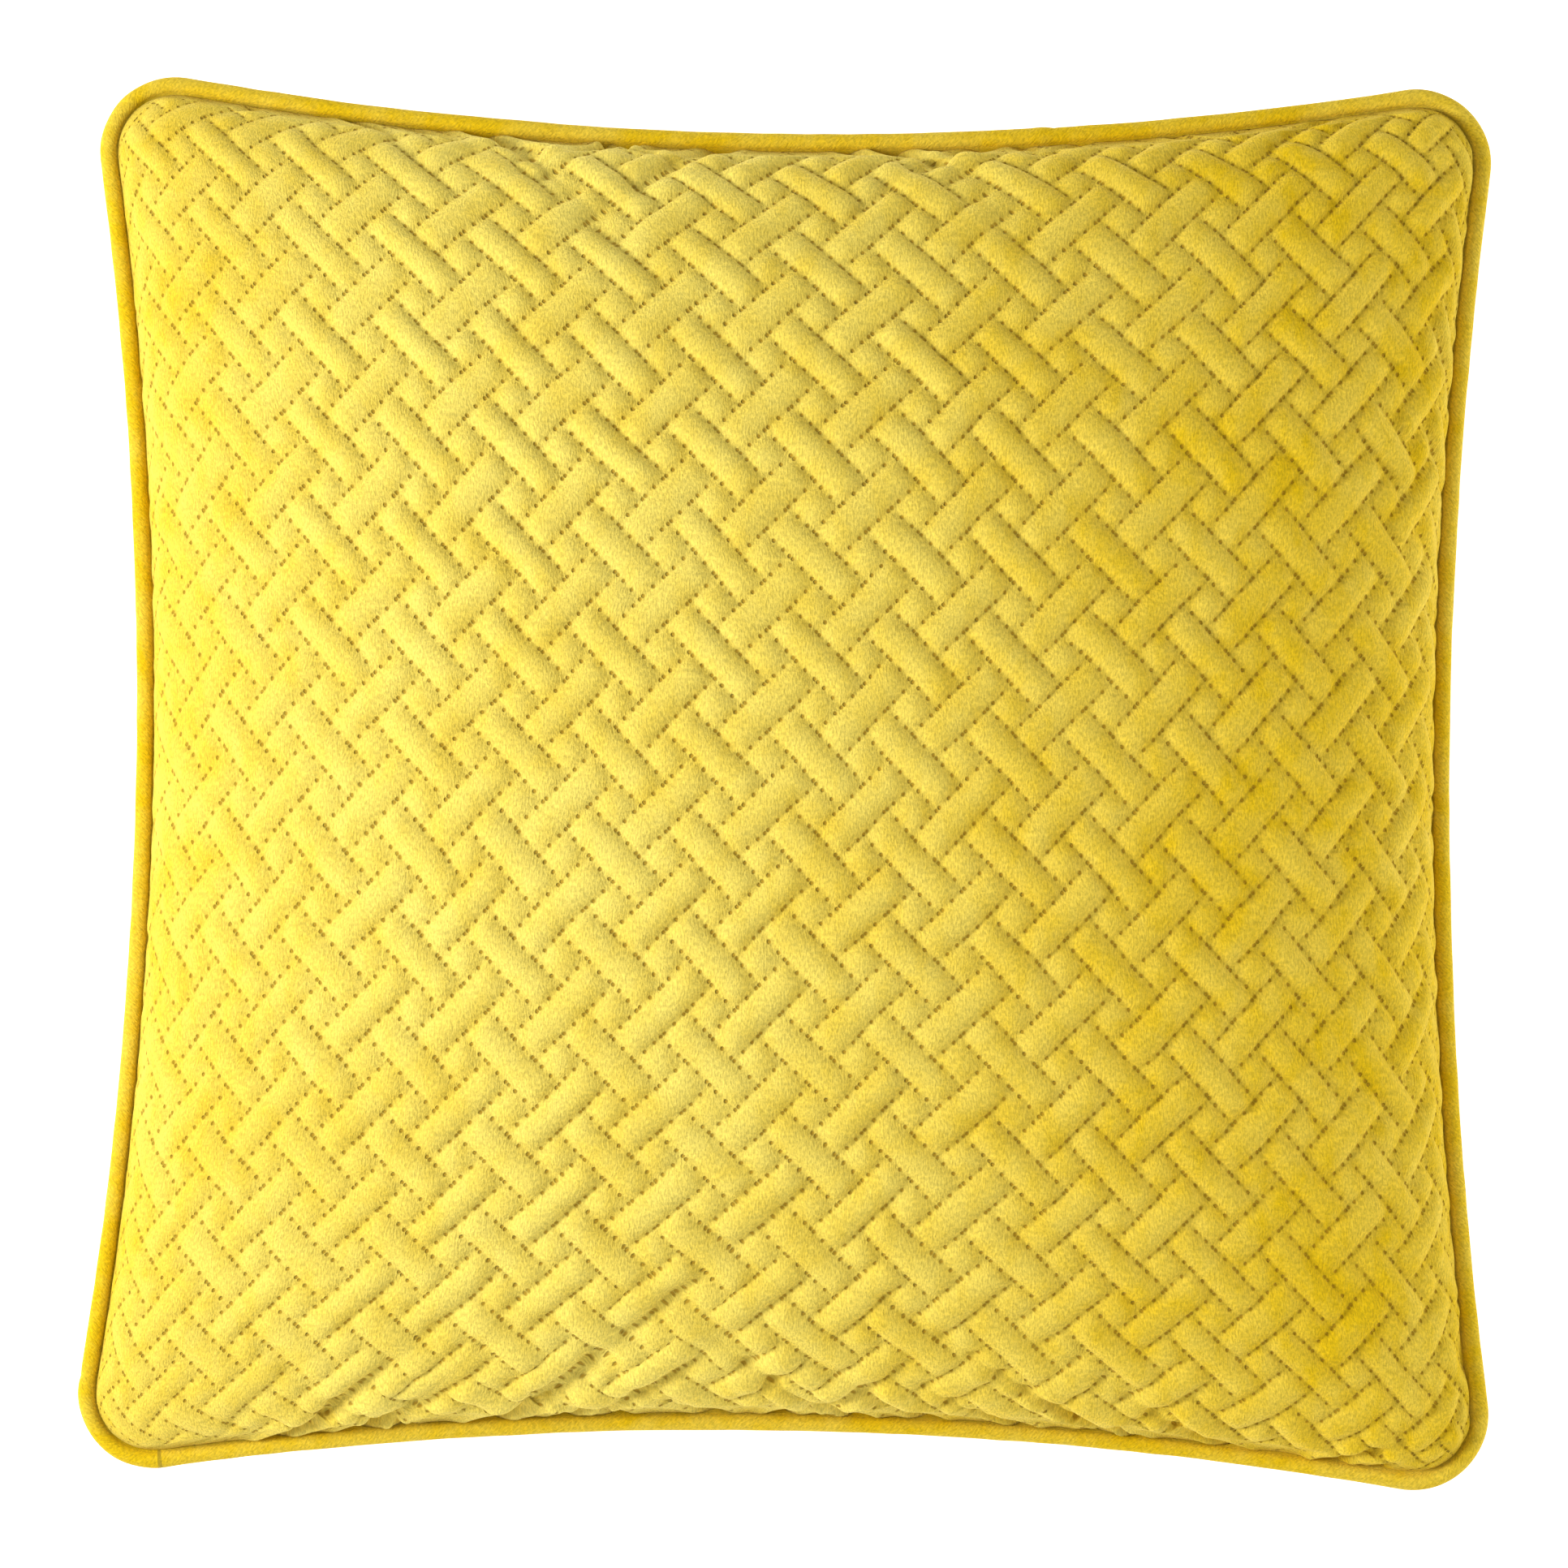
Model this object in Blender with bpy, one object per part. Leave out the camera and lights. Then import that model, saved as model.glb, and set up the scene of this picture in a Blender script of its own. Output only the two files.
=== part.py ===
"""Throw pillow: a 45 cm square velvet cover with a quilted front, piped edges and a zip in its bottom
seam, round a filled insert. Units are metres and +Z is up. The pillow lies on its back, with its quilted
front up, on the plane z = 0. X is its width, and the zip is in the edge that faces -Y."""

import math

import bmesh
import bpy
from mathutils import Vector

MM = 0.001

# Overall size, measured over the piping
WIDTH = 450 * MM
LENGTH = 450 * MM
THICKNESS = 140 * MM

# Outline. Each edge curves in between two rounded corners, and the sewn corners don't all reach equally far.
# EDGE_CURVES says how far each edge's middle lies inside its corners, counterclockwise from the bottom edge.
EDGE_CURVES = (15.4 * MM, 12.8 * MM, 16.2 * MM, 15.0 * MM)
CORNER_RADIUS = 24 * MM
CORNERS = (  # side of X, side of Y, shortfall along X, shortfall along Y, counterclockwise from bottom left
    (-1, -1, 0 * MM, 7 * MM),
    (1, -1, 1 * MM, 0 * MM),
    (1, 1, 0 * MM, 4 * MM),
    (-1, 1, 7 * MM, 0 * MM),
)

# Shape of the filled body
SEAM_HEIGHT = 60 * MM  # the plane of the edge seam, above what the pillow lies on
BACK_DEPTH = 68 * MM  # depth below the seam that the back would have if nothing flattened it
FULLNESS = 2.4
ROUNDNESS = 0.5
CORNER_DROP = 0.42  # share of its height that the body loses towards a corner

# Fabrics
CLEARANCE = 0.3 * MM
VELVET = 0.8 * MM
WADDING = 3.0 * MM
LINING = 0.4 * MM
CASING = 0.4 * MM
SEAM_ALLOWANCE = 12 * MM
INSERT_GAP = 1.2 * MM  # from the cover's seam allowances in to the edge of the insert

# Piping
CORD_DIAMETER = 3.5 * MM
STRIP = 0.7 * MM  # bias-cut velvet round the cord
STRIP_LEG = 0.5 * MM  # the same velvet, pressed flat in the seam

# Zip, No. 3 nylon coil
ZIP_LENGTH = 340 * MM  # between its stops
ZIP_DROP = 7.5 * MM  # from the seam plane down to the middle of the chain
ZIP_INSET = 8.0 * MM  # from the outer edge of the piping in to the middle of the chain
COIL_WIDTH = 1.8 * MM
COIL_DEPTH = 2.2 * MM
COIL_GAP = 1.2 * MM  # between the two coils, so that the slider's post can pass
TAPE = 0.5 * MM
TAPE_OVERRUN = 12 * MM  # past each end of the chain
TAPE_TURN_IN = 8.5 * MM
ZIP_LAP = 6.8 * MM  # from the middle of the chain down to the edge of the back panel
TOP_STOP_LENGTH = 2.0 * MM
BOTTOM_STOP_LENGTH = 3.0 * MM
STOP_MARGIN = 0.15 * MM  # how far a stop stands out past the coil

# Slider
SLIDER_LENGTH = 9.4 * MM
SLIDER_NOSE_WIDTH = 8.2 * MM
SLIDER_TAIL_WIDTH = 6.6 * MM
SLIDER_WALL = 0.8 * MM
LIP_WIDTH = 0.9 * MM
TAPE_SLOT = 1.3 * MM
POST_LENGTH = 2.0 * MM
POST_WIDTH = 0.6 * MM
BAIL_LENGTH = 6.2 * MM
BAIL_WIDTH = 1.2 * MM
BAIL_WALL = 1.0 * MM
BAIL_HEIGHT = 2.2 * MM  # clear height under the bail
END_CLEARANCE = 0.4 * MM  # between the slider and a stop

# Pull tab
PULL_LENGTH = 24 * MM
PULL_WIDTH = 5.2 * MM
PULL_THICKNESS = 1.0 * MM
PULL_EYE_LENGTH = 4.2 * MM
PULL_EYE_WIDTH = 2.8 * MM
PULL_BAR = 1.0 * MM

# Care label
LABEL_WIDTH = 35 * MM
LABEL_LENGTH = 21 * MM
LABEL_THICKNESS = 0.3 * MM
LABEL_EDGE = 3  # the left one
LABEL_PLACE = 60 * MM  # along it from its middle, towards the bottom
LABEL_INSET = 14 * MM

# Fineness of the solids
SIDE_STEPS = 6
CORNER_STEPS = 4
RING_SHARES = (1.0, 0.98, 0.93, 0.82, 0.62, 0.34)
PIPE_STEPS = 8
CORD_SIDES = 8
COIL_SIDES = 8
ZIP_STEPS = 18

PIPE_RADIUS = CORD_DIAMETER / 2 + CLEARANCE + STRIP
LEG_TOP = CLEARANCE / 2 + STRIP_LEG
PANEL_BASE = LEG_TOP + CLEARANCE  # height of a panel's turned-in edge above or below the seam plane
PANEL_INSET = 2 * PIPE_RADIUS + CLEARANCE
ALLOWANCE_INSET = 2 * PIPE_RADIUS + SEAM_ALLOWANCE
CHANNEL = COIL_DEPTH / 2 + CLEARANCE  # half the slider's inside depth
COIL_OUTER = COIL_GAP / 2 + COIL_WIDTH

COLOURS = {
    "velvet": ((0.78, 0.58, 0.09), 0.85, 0.0),
    "wadding": ((0.86, 0.86, 0.83), 0.95, 0.0),
    "lining": ((0.82, 0.78, 0.68), 0.9, 0.0),
    "casing": ((0.90, 0.90, 0.90), 0.85, 0.0),
    "filling": ((0.95, 0.95, 0.95), 1.0, 0.0),
    "cord": ((0.88, 0.86, 0.80), 0.9, 0.0),
    "zip tape": ((0.62, 0.45, 0.08), 0.8, 0.0),
    "nylon": ((0.66, 0.48, 0.09), 0.45, 0.0),
    "zinc": ((0.72, 0.68, 0.52), 0.35, 1.0),
    "label": ((0.93, 0.93, 0.93), 0.7, 0.0),
}


def clear_scene():
    for thing in list(bpy.data.objects):
        bpy.data.objects.remove(thing, do_unlink=True)


def material(name):
    found = bpy.data.materials.get(name)
    if found:
        return found
    colour, roughness, metallic = COLOURS[name]
    made = bpy.data.materials.new(name)
    made.use_nodes = True
    surface = made.node_tree.nodes["Principled BSDF"]
    surface.inputs["Base Color"].default_value = (*colour, 1.0)
    surface.inputs["Roughness"].default_value = roughness
    surface.inputs["Metallic"].default_value = metallic
    return made


def add_object(name, bm, material_name, sharp_degrees=35):
    """Turns a bmesh into an object whose faces point out, shaded smooth up to the sharp angle."""
    bmesh.ops.recalc_face_normals(bm, faces=bm.faces)
    mesh = bpy.data.meshes.new(name)
    bm.to_mesh(mesh)
    bm.free()
    mesh.shade_smooth()
    mesh.set_sharp_from_angle(angle=math.radians(sharp_degrees))
    mesh.materials.append(material(material_name))
    thing = bpy.data.objects.new(name, mesh)
    bpy.context.scene.collection.objects.link(thing)
    return thing


def loft(rings, ends):
    """Skins rings of equal length with triangles. ends is 'cap' for a flat face at each end, 'join' where
    the last ring runs on into the first, or 'open'. Every four points are split from the one nearer the Z
    axis, so that nested skins are split alike and stay clear of each other."""
    bm = bmesh.new()
    made = [[bm.verts.new(point) for point in ring] for ring in rings]
    pairs = list(zip(made, made[1:]))
    if ends == "join":
        pairs.append((made[-1], made[0]))
    for first, second in pairs:
        nearer_first = first[0].co.xy.length < second[0].co.xy.length
        near, far = (first, second) if nearer_first else (second, first)
        for i in range(len(near)):
            k = (i + 1) % len(near)
            bm.faces.new((near[i], near[k], far[k]))
            bm.faces.new((near[i], far[k], far[i]))
    if ends == "cap":
        bm.faces.new(made[0])
        bm.faces.new(made[-1])
    return bm, made


# ---------------------------------------------------------------- outline


def corner_centres():
    centres = []
    for side_x, side_y, short_x, short_y in CORNERS:
        x = side_x * (WIDTH / 2 - short_x - CORNER_RADIUS)
        y = side_y * (LENGTH / 2 - short_y - CORNER_RADIUS)
        centres.append(Vector((x, y)))
    return centres


def edge_arc(edge):
    """(centre, radius) of an edge, which curves in between its two round corners. Its centre is outside the
    pillow, and it touches both corners."""
    centres, curve = corner_centres(), EDGE_CURVES[edge % 4]
    first, second = centres[edge % 4], centres[(edge + 1) % 4]
    half = (second - first).length / 2
    reach = (half**2 + curve**2) / (2 * curve)  # the edge's radius and a corner's together
    along = (second - first).normalized()
    outward = Vector((along.y, -along.x))
    centre = (first + second) / 2 + outward * (reach - curve)
    return centre, reach - CORNER_RADIUS


def arc_points(centre, radius, start, end, steps):
    """Points from start towards end, both directions from the centre, without the last one."""
    turn = math.atan2(start.x * end.y - start.y * end.x, start.dot(end))
    angle = math.atan2(start.y, start.x)
    points = []
    for i in range(steps):
        at = angle + turn * i / steps
        points.append(centre + radius * Vector((math.cos(at), math.sin(at))))
    return points


def outline(inset):
    """The pillow's outline, counterclockwise, this far inside the outer edge of the piping."""
    centres = corner_centres()
    points = []
    for i in range(4):
        here, there = centres[i], centres[(i + 1) % 4]
        middle, radius = edge_arc(i)
        points += arc_points(middle, radius + inset, here - middle, there - middle, SIDE_STEPS)
        next_middle = edge_arc(i + 1)[0]
        corner = CORNER_RADIUS - inset
        points += arc_points(there, corner, middle - there, next_middle - there, CORNER_STEPS)
    return points


def flat_ring(inset, height):
    """The outline as a ring at this height above the seam plane."""
    return [Vector((p.x, p.y, SEAM_HEIGHT + height)) for p in outline(inset)]


# ---------------------------------------------------------------- domes


def body_height(share, point):
    """Height of the filled body, as a share of its greatest, this share of the way out to a seam point."""
    a, b = abs(point.x) / WIDTH, abs(point.y) / LENGTH
    diagonal = min(a, b) / max(a, b)
    return (1 - share**FULLNESS) ** ROUNDNESS * (1 - CORNER_DROP * (diagonal * share) ** 2)


class Skin:
    """One face of a layer: the seam outline drawn in by inset, and domed from base to top. Heights are
    from the seam plane, up for the front and down for the back, and the back goes no lower than floor."""

    def __init__(self, inset, base, top, side=1, floor=0.0):
        self.inset, self.base, self.top, self.side, self.floor = inset, base, top, side, floor

    def point(self, share, seam):
        height = self.base + (self.top - self.base) * body_height(share, seam)
        z = SEAM_HEIGHT + self.side * height
        if self.side < 0:
            z = max(z, self.floor)
        x = seam.x * share * (1 - self.inset / (WIDTH / 2))
        y = seam.y * share * (1 - self.inset / (LENGTH / 2))
        return Vector((x, y, z))

    def rings(self):
        """From the seam towards the middle."""
        seam = outline(PANEL_INSET)
        return [[self.point(share, p) for p in seam] for share in RING_SHARES]

    def middle(self):
        return self.point(0.0, Vector((WIDTH, 0.0)))


def close_with_fans(bm, made, first_middle, last_middle):
    for ring, middle in ((made[0], first_middle), (made[-1], last_middle)):
        top = bm.verts.new(middle)
        for i in range(len(ring)):
            bm.faces.new((ring[i], ring[(i + 1) % len(ring)], top))


def domed_solid(name, material_name, first, last, allowance=None):
    """A solid between two skins. allowance is the inset that a turned-in edge reaches to, if it has one."""
    between = []
    if allowance is not None:
        between = [flat_ring(allowance, skin.side * skin.base) for skin in (first, last)]
    bm, made = loft(first.rings()[::-1] + between + last.rings(), "open")
    close_with_fans(bm, made, first.middle(), last.middle())
    return add_object(name, bm, material_name)


def front_layers():
    """The quilted front, outside in, then the front of the insert. Returns the height under the last."""
    top, base, inset = THICKNESS - SEAM_HEIGHT, PANEL_BASE, 0.0

    def next_skin(drop, lift, step):
        nonlocal top, base, inset
        top -= drop
        base += lift
        inset += step
        return Skin(inset, base, top)

    draw_in = 1.2  # a layer is drawn in at the seam by this many times its thickness
    outer = next_skin(0, 0, 0)
    inner = next_skin(VELVET, VELVET, draw_in * VELVET)
    domed_solid("front_velvet", "velvet", outer, inner, ALLOWANCE_INSET)
    outer = next_skin(CLEARANCE, CLEARANCE, 2 * CLEARANCE)
    inner = next_skin(WADDING, 0, WADDING)
    domed_solid("front_wadding", "wadding", outer, inner)
    outer = next_skin(CLEARANCE, 0, 2 * CLEARANCE)
    inner = next_skin(LINING, LINING, draw_in * LINING)
    domed_solid("front_lining", "lining", outer, inner, ALLOWANCE_INSET)
    return top


def back_skins():
    outer = Skin(0, PANEL_BASE, BACK_DEPTH, -1, 0.0)
    inner = Skin(1.2 * VELVET, PANEL_BASE + VELVET, BACK_DEPTH - VELVET, -1, VELVET)
    return outer, inner


def insert(front_top):
    """The insert's two casings, sewn edge to edge inside the cover's seam allowances, and the filling."""
    half = min(WIDTH, LENGTH) / 2
    shortfall = max(max(corner[2:]) for corner in CORNERS)
    nearest = half - max(EDGE_CURVES) - shortfall - PANEL_INSET  # the seam, where an edge is deepest
    edge = (ALLOWANCE_INSET - PANEL_INSET + INSERT_GAP) * half / nearest
    tops = {1: front_top - CLEARANCE, -1: BACK_DEPTH - VELVET - CLEARANCE}
    fill = {}
    for side, name in ((1, "insert_casing_front"), (-1, "insert_casing_back")):
        floor = VELVET + CLEARANCE
        outer = Skin(edge, CLEARANCE / 2, tops[side], side, floor)
        inner = Skin(edge + 1.2 * CASING, CLEARANCE / 2, tops[side] - CASING, side, floor + CASING)
        domed_solid(name, "casing", outer, inner)
        fill[side] = Skin(
            edge + 1.2 * CASING + 2 * CLEARANCE,
            CLEARANCE / 2,
            tops[side] - CASING - CLEARANCE,
            side,
            floor + CASING + CLEARANCE,
        )
    domed_solid("insert_filling", "filling", fill[1], fill[-1])


# ---------------------------------------------------------------- piping


def circle_section(centre_inset, radius, start, end, steps):
    """(inset, height) points round a circle in the seam's cross-section. 0 degrees points inwards."""
    points = []
    for i in range(steps + 1):
        angle = start + (end - start) * i / steps
        points.append((centre_inset + radius * math.cos(angle), radius * math.sin(angle)))
    return points


def piping():
    """A velvet strip wrapped round a cord. Its two legs lie flat between the panels' turned-in edges."""
    outer_start = math.asin(LEG_TOP / PIPE_RADIUS)
    inner_radius = PIPE_RADIUS - STRIP
    inner_start = math.asin(CLEARANCE / 2 / inner_radius)
    full = 2 * math.pi
    section = [(ALLOWANCE_INSET, LEG_TOP)]
    section += circle_section(PIPE_RADIUS, PIPE_RADIUS, outer_start, full - outer_start, PIPE_STEPS)
    section += [(ALLOWANCE_INSET, -LEG_TOP), (ALLOWANCE_INSET, -CLEARANCE / 2)]
    section += circle_section(PIPE_RADIUS, inner_radius, full - inner_start, inner_start, PIPE_STEPS)
    section += [(ALLOWANCE_INSET, CLEARANCE / 2)]
    bm = loft([flat_ring(inset, height) for inset, height in section], "join")[0]
    add_object("piping_velvet", bm, "velvet", 60)

    cord = circle_section(PIPE_RADIUS, CORD_DIAMETER / 2, 0, full, CORD_SIDES)[:-1]
    bm = loft([flat_ring(inset, height) for inset, height in cord], "join")[0]
    add_object("piping_cord", bm, "cord", 60)


# ---------------------------------------------------------------- zip


def edge_between(edge):
    """(first corner's centre, second's, the edge's centre, its radius). Edge 0 is the bottom one, and the
    others follow counterclockwise."""
    centres = corner_centres()
    return centres[edge], centres[(edge + 1) % 4], *edge_arc(edge)


def edge_point(edge, distance, inset, height):
    """A world point beside an edge. distance runs counterclockwise from the edge's middle, on the chain's
    own arc, and height is from the seam plane."""
    first, second, centre, radius = edge_between(edge)
    middle = ((first + second) / 2 - centre).normalized()
    turn = -distance / (radius + ZIP_INSET)
    cos, sin = math.cos(turn), math.sin(turn)
    across = Vector((middle.x * cos - middle.y * sin, middle.x * sin + middle.y * cos))
    place = centre + (radius + inset) * across
    return Vector((place.x, place.y, SEAM_HEIGHT + height))


def swept(section, start, end, steps, edge=0):
    """(inset, height) points swept along an edge."""
    rings = []
    for i in range(steps + 1):
        distance = start + (end - start) * i / steps
        rings.append([edge_point(edge, distance, inset, height) for inset, height in section])
    return loft(rings, "cap")[0]


def coil_section(side):
    """One coil, above (+1) or below (-1) the middle of the chain: an oval as deep as it is wide."""
    middle = -ZIP_DROP + side * (COIL_GAP + COIL_WIDTH) / 2
    points = []
    for i in range(COIL_SIDES):
        angle = 2 * math.pi * (i + 0.5) / COIL_SIDES
        reach = 1 / math.cos(math.pi / COIL_SIDES)
        inset = ZIP_INSET + COIL_DEPTH / 2 * reach * math.cos(angle)
        points.append((inset, middle + COIL_WIDTH / 2 * reach * math.sin(angle)))
    return points


def upper_tape_section():
    """Up from the coil, then in under the piping's legs, which it is sewn to."""
    low = -ZIP_DROP + COIL_OUTER + CLEARANCE
    high = -LEG_TOP - CLEARANCE
    near, far = ZIP_INSET - TAPE / 2, ZIP_INSET + TAPE / 2
    turned = ZIP_INSET + TAPE_TURN_IN
    return [(near, low), (far, low), (far, high - TAPE), (turned, high - TAPE), (turned, high), (near, high)]


def lower_tape_section():
    """Down from the coil, clear of the slider, then in behind the edge of the back panel."""
    high = -ZIP_DROP - COIL_OUTER - CLEARANCE
    bend = -ZIP_DROP - SLIDER_NOSE_WIDTH / 2 - CLEARANCE
    edge = -ZIP_DROP - ZIP_LAP
    low = edge - TAPE_TURN_IN * 0.75
    near, far = ZIP_INSET - TAPE / 2, ZIP_INSET + TAPE / 2
    behind = panel_inset_at(edge) + 3 * VELVET
    deep = panel_inset_at(low) + 3 * VELVET
    section = [(near, high), (near, bend), (behind, edge), (deep, low)]
    section += [(deep + TAPE, low), (behind + TAPE, edge), (far, bend), (far, high)]
    return section


def panel_inset_at(height):
    """How far in the back panel's outer face is, at this height from the seam plane, beside the end of the
    zip, where it is furthest in."""
    rise = (-height - PANEL_BASE) / (BACK_DEPTH - PANEL_BASE)
    seam = edge_point(0, ZIP_LENGTH / 2 + TAPE_OVERRUN, PANEL_INSET, 0)
    low, high = 0.5, 1.0
    for _ in range(30):
        share = (low + high) / 2
        if body_height(share, seam) > rise:
            low = share
        else:
            high = share
    return PANEL_INSET + (1 - share) * abs(seam.y)


def back_panel():
    """The plain back, with the opening that the zip closes cut out of its bottom edge."""
    panel = domed_solid("back_velvet", "velvet", *back_skins(), ALLOWANCE_INSET)
    past = 5 * MM
    step = -LEG_TOP - 2 * CLEARANCE - TAPE - VELVET
    edge = -ZIP_DROP - ZIP_LAP
    deep = panel_inset_at(edge) + 4 * VELVET
    section = [
        (-past, -LEG_TOP),
        (ALLOWANCE_INSET + past, -LEG_TOP),
        (ALLOWANCE_INSET + past, step),
        (deep, step),
        (deep, edge),
        (-past, edge),
    ]
    reach = ZIP_LENGTH / 2 + TAPE_OVERRUN + CLEARANCE
    cutter = add_object("zip_opening_cutter", swept(section, -reach, reach, ZIP_STEPS), "velvet")
    cutter.hide_render = True
    cutter.display_type = "WIRE"
    cut = panel.modifiers.new("zip opening", "BOOLEAN")
    cut.operation = "DIFFERENCE"
    cut.object = cutter


def box(bm, low, high):
    """Adds a closed box to bm."""
    made = bmesh.ops.create_cube(bm, size=1.0)["verts"]
    for vert in made:
        for axis in range(3):
            share = vert.co[axis] + 0.5
            vert.co[axis] = low[axis] + share * (high[axis] - low[axis])
    return made


def extruded_plate(bm, corners, low, high):
    """Adds a closed plate to bm: corners are (x, z) points, extruded along Y."""
    near = [bm.verts.new((x, low, z)) for x, z in corners]
    far = [bm.verts.new((x, high, z)) for x, z in corners]
    bm.faces.new(near)
    bm.faces.new(far)
    for i in range(len(near)):
        k = (i + 1) % len(near)
        bm.faces.new((near[i], near[k], far[k], far[i]))


def union_of(name, material_name, shapes, sharp_degrees=35):
    """Joins closed shapes, each a function that adds itself to a bmesh, into one body."""
    things = []
    for i, shape in enumerate(shapes):
        bm = bmesh.new()
        shape(bm)
        things.append(add_object(f"{name}_shape_{i}", bm, material_name, sharp_degrees))
    body = things[0]
    body.name = name
    for other in things[1:]:
        other.hide_render = True
        other.display_type = "WIRE"
        join = body.modifiers.new("join " + other.name, "BOOLEAN")
        join.operation = "UNION"
        join.object = other
    return body, things[1:]


def place_on_chain(things, distance, parent):
    """Puts objects drawn round the middle of the chain, +X towards the closed end, at this distance."""
    place = edge_point(0, distance, ZIP_INSET, -ZIP_DROP)
    ahead = edge_point(0, distance + MM, ZIP_INSET, -ZIP_DROP) - place
    for thing in things:
        thing.parent = parent
        thing.location = place - parent.location
        thing.rotation_euler.z = math.atan2(ahead.y, ahead.x)


def plate_corners():
    """The slider's face, wide at its nose and narrow at its tail."""
    half, nose, tail = SLIDER_LENGTH / 2, SLIDER_NOSE_WIDTH / 2, SLIDER_TAIL_WIDTH / 2
    upper = [(-half, tail - 0.5 * MM), (-half + 0.5 * MM, tail), (0.1 * half, tail + 0.2 * MM)]
    upper += [(0.62 * half, nose), (0.85 * half, nose - 0.3 * MM), (half, nose - 1.6 * MM)]
    return upper + [(x, -z) for x, z in upper[::-1]]


def slider(parent, distance):
    half = SLIDER_LENGTH / 2
    face = CHANNEL + SLIDER_WALL
    lip_low = COIL_OUTER + CLEARANCE
    lip_high = lip_low + LIP_WIDTH
    sunk = SLIDER_WALL / 2
    shapes = [lambda bm: extruded_plate(bm, plate_corners(), -face, -CHANNEL)]
    shapes.append(lambda bm: extruded_plate(bm, plate_corners(), CHANNEL, face))
    post_end = half - 0.5 * MM
    shapes.append(
        lambda bm: box(
            bm,
            (post_end - POST_LENGTH, -CHANNEL - sunk, -POST_WIDTH / 2),
            (post_end, CHANNEL + sunk, POST_WIDTH / 2),
        )
    )

    def lip(side_y, side_z):
        ys = sorted((side_y * TAPE_SLOT / 2, side_y * (CHANNEL + sunk)))
        zs = sorted((side_z * lip_low, side_z * lip_high))
        reach = half - 0.9 * MM
        return lambda bm: box(bm, (-reach, ys[0], zs[0]), (reach * 0.8, ys[1], zs[1]))

    shapes += [lip(y, z) for y in (-1, 1) for z in (-1, 1)]
    bail_low = -face - BAIL_HEIGHT
    bail_half = BAIL_LENGTH / 2
    for end in (-1, 1):
        xs = sorted((end * bail_half, end * (bail_half - BAIL_WALL)))
        shapes.append(
            lambda bm, xs=xs: box(
                bm,
                (xs[0], bail_low - BAIL_WALL / 2, -BAIL_WIDTH / 2),
                (xs[1], -face + sunk, BAIL_WIDTH / 2),
            )
        )
    shapes.append(
        lambda bm: box(
            bm,
            (-bail_half, bail_low - BAIL_WALL, -BAIL_WIDTH / 2),
            (bail_half, bail_low, BAIL_WIDTH / 2),
        )
    )
    body, helpers = union_of("zip_slider", "zinc", shapes)
    place_on_chain([body, *helpers], distance, parent)
    return body


def pull_tab(body):
    """Lies along the closed chain, with its bar under the slider's bail. Its origin is on its pivot."""
    eye_start = PULL_BAR / 2
    eye_end = eye_start + PULL_EYE_LENGTH
    half, width = PULL_THICKNESS / 2, PULL_WIDTH / 2
    tip = PULL_LENGTH - width
    rounded = [(eye_start - PULL_BAR, width - 0.4 * MM), (eye_start - PULL_BAR + 0.4 * MM, width)]
    for i in range(7):
        angle = math.pi / 2 - math.pi / 6 * i
        rounded.append((tip + width * math.cos(angle), width * math.sin(angle)))
    rounded += [(x, -z) for x, z in rounded[1::-1]]
    bm = bmesh.new()
    extruded_plate(bm, [(-x, z) for x, z in rounded], -half, half)
    tab = add_object("zip_pull", bm, "zinc")
    bm = bmesh.new()
    box(bm, (-eye_end, -2 * half, -PULL_EYE_WIDTH / 2), (-eye_start, 2 * half, PULL_EYE_WIDTH / 2))
    cutter = add_object("zip_pull_eye_cutter", bm, "zinc")
    cutter.hide_render = True
    cutter.display_type = "WIRE"
    cut = tab.modifiers.new("eye", "BOOLEAN")
    cut.operation = "DIFFERENCE"
    cut.object = cutter
    for thing in (tab, cutter):
        thing.parent = body
        thing.location = (0, -CHANNEL - SLIDER_WALL - BAIL_HEIGHT / 2, 0)


def stop_section(low, high):
    depth = COIL_DEPTH / 2 + STOP_MARGIN
    near, far = ZIP_INSET - depth, ZIP_INSET + depth
    return [(near, low - ZIP_DROP), (far, low - ZIP_DROP), (far, high - ZIP_DROP), (near, high - ZIP_DROP)]


def zip_fastener():
    half = ZIP_LENGTH / 2
    tape_half = half + TAPE_OVERRUN
    for name, section in (("upper", upper_tape_section()), ("lower", lower_tape_section())):
        bm = swept(section, -tape_half, tape_half, ZIP_STEPS)
        add_object("zip_tape_" + name, bm, "zip tape")
    for name, side in (("upper", 1), ("lower", -1)):
        bm = swept(coil_section(side), -half, half, ZIP_STEPS)
        add_object("zip_coil_" + name, bm, "nylon", 60)
        low, high = sorted((side * COIL_GAP / 2, side * COIL_OUTER))
        start = half + CLEARANCE
        bm = swept(stop_section(low, high), start, start + TOP_STOP_LENGTH, 1)
        add_object("zip_top_stop_" + name, bm, "zinc")
    start = -half - CLEARANCE - BOTTOM_STOP_LENGTH
    bm = swept(stop_section(-COIL_OUTER, COIL_OUTER), start, start + BOTTOM_STOP_LENGTH, 1)
    add_object("zip_bottom_stop", bm, "zinc")

    centre = edge_between(0)[2]
    pivot = bpy.data.objects.new("zip_arc_centre", None)
    pivot.location = (centre.x, centre.y, SEAM_HEIGHT - ZIP_DROP)
    bpy.context.scene.collection.objects.link(pivot)
    closed = half + CLEARANCE - END_CLEARANCE - SLIDER_LENGTH / 2
    body = slider(pivot, closed)
    pull_tab(body)


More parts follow.
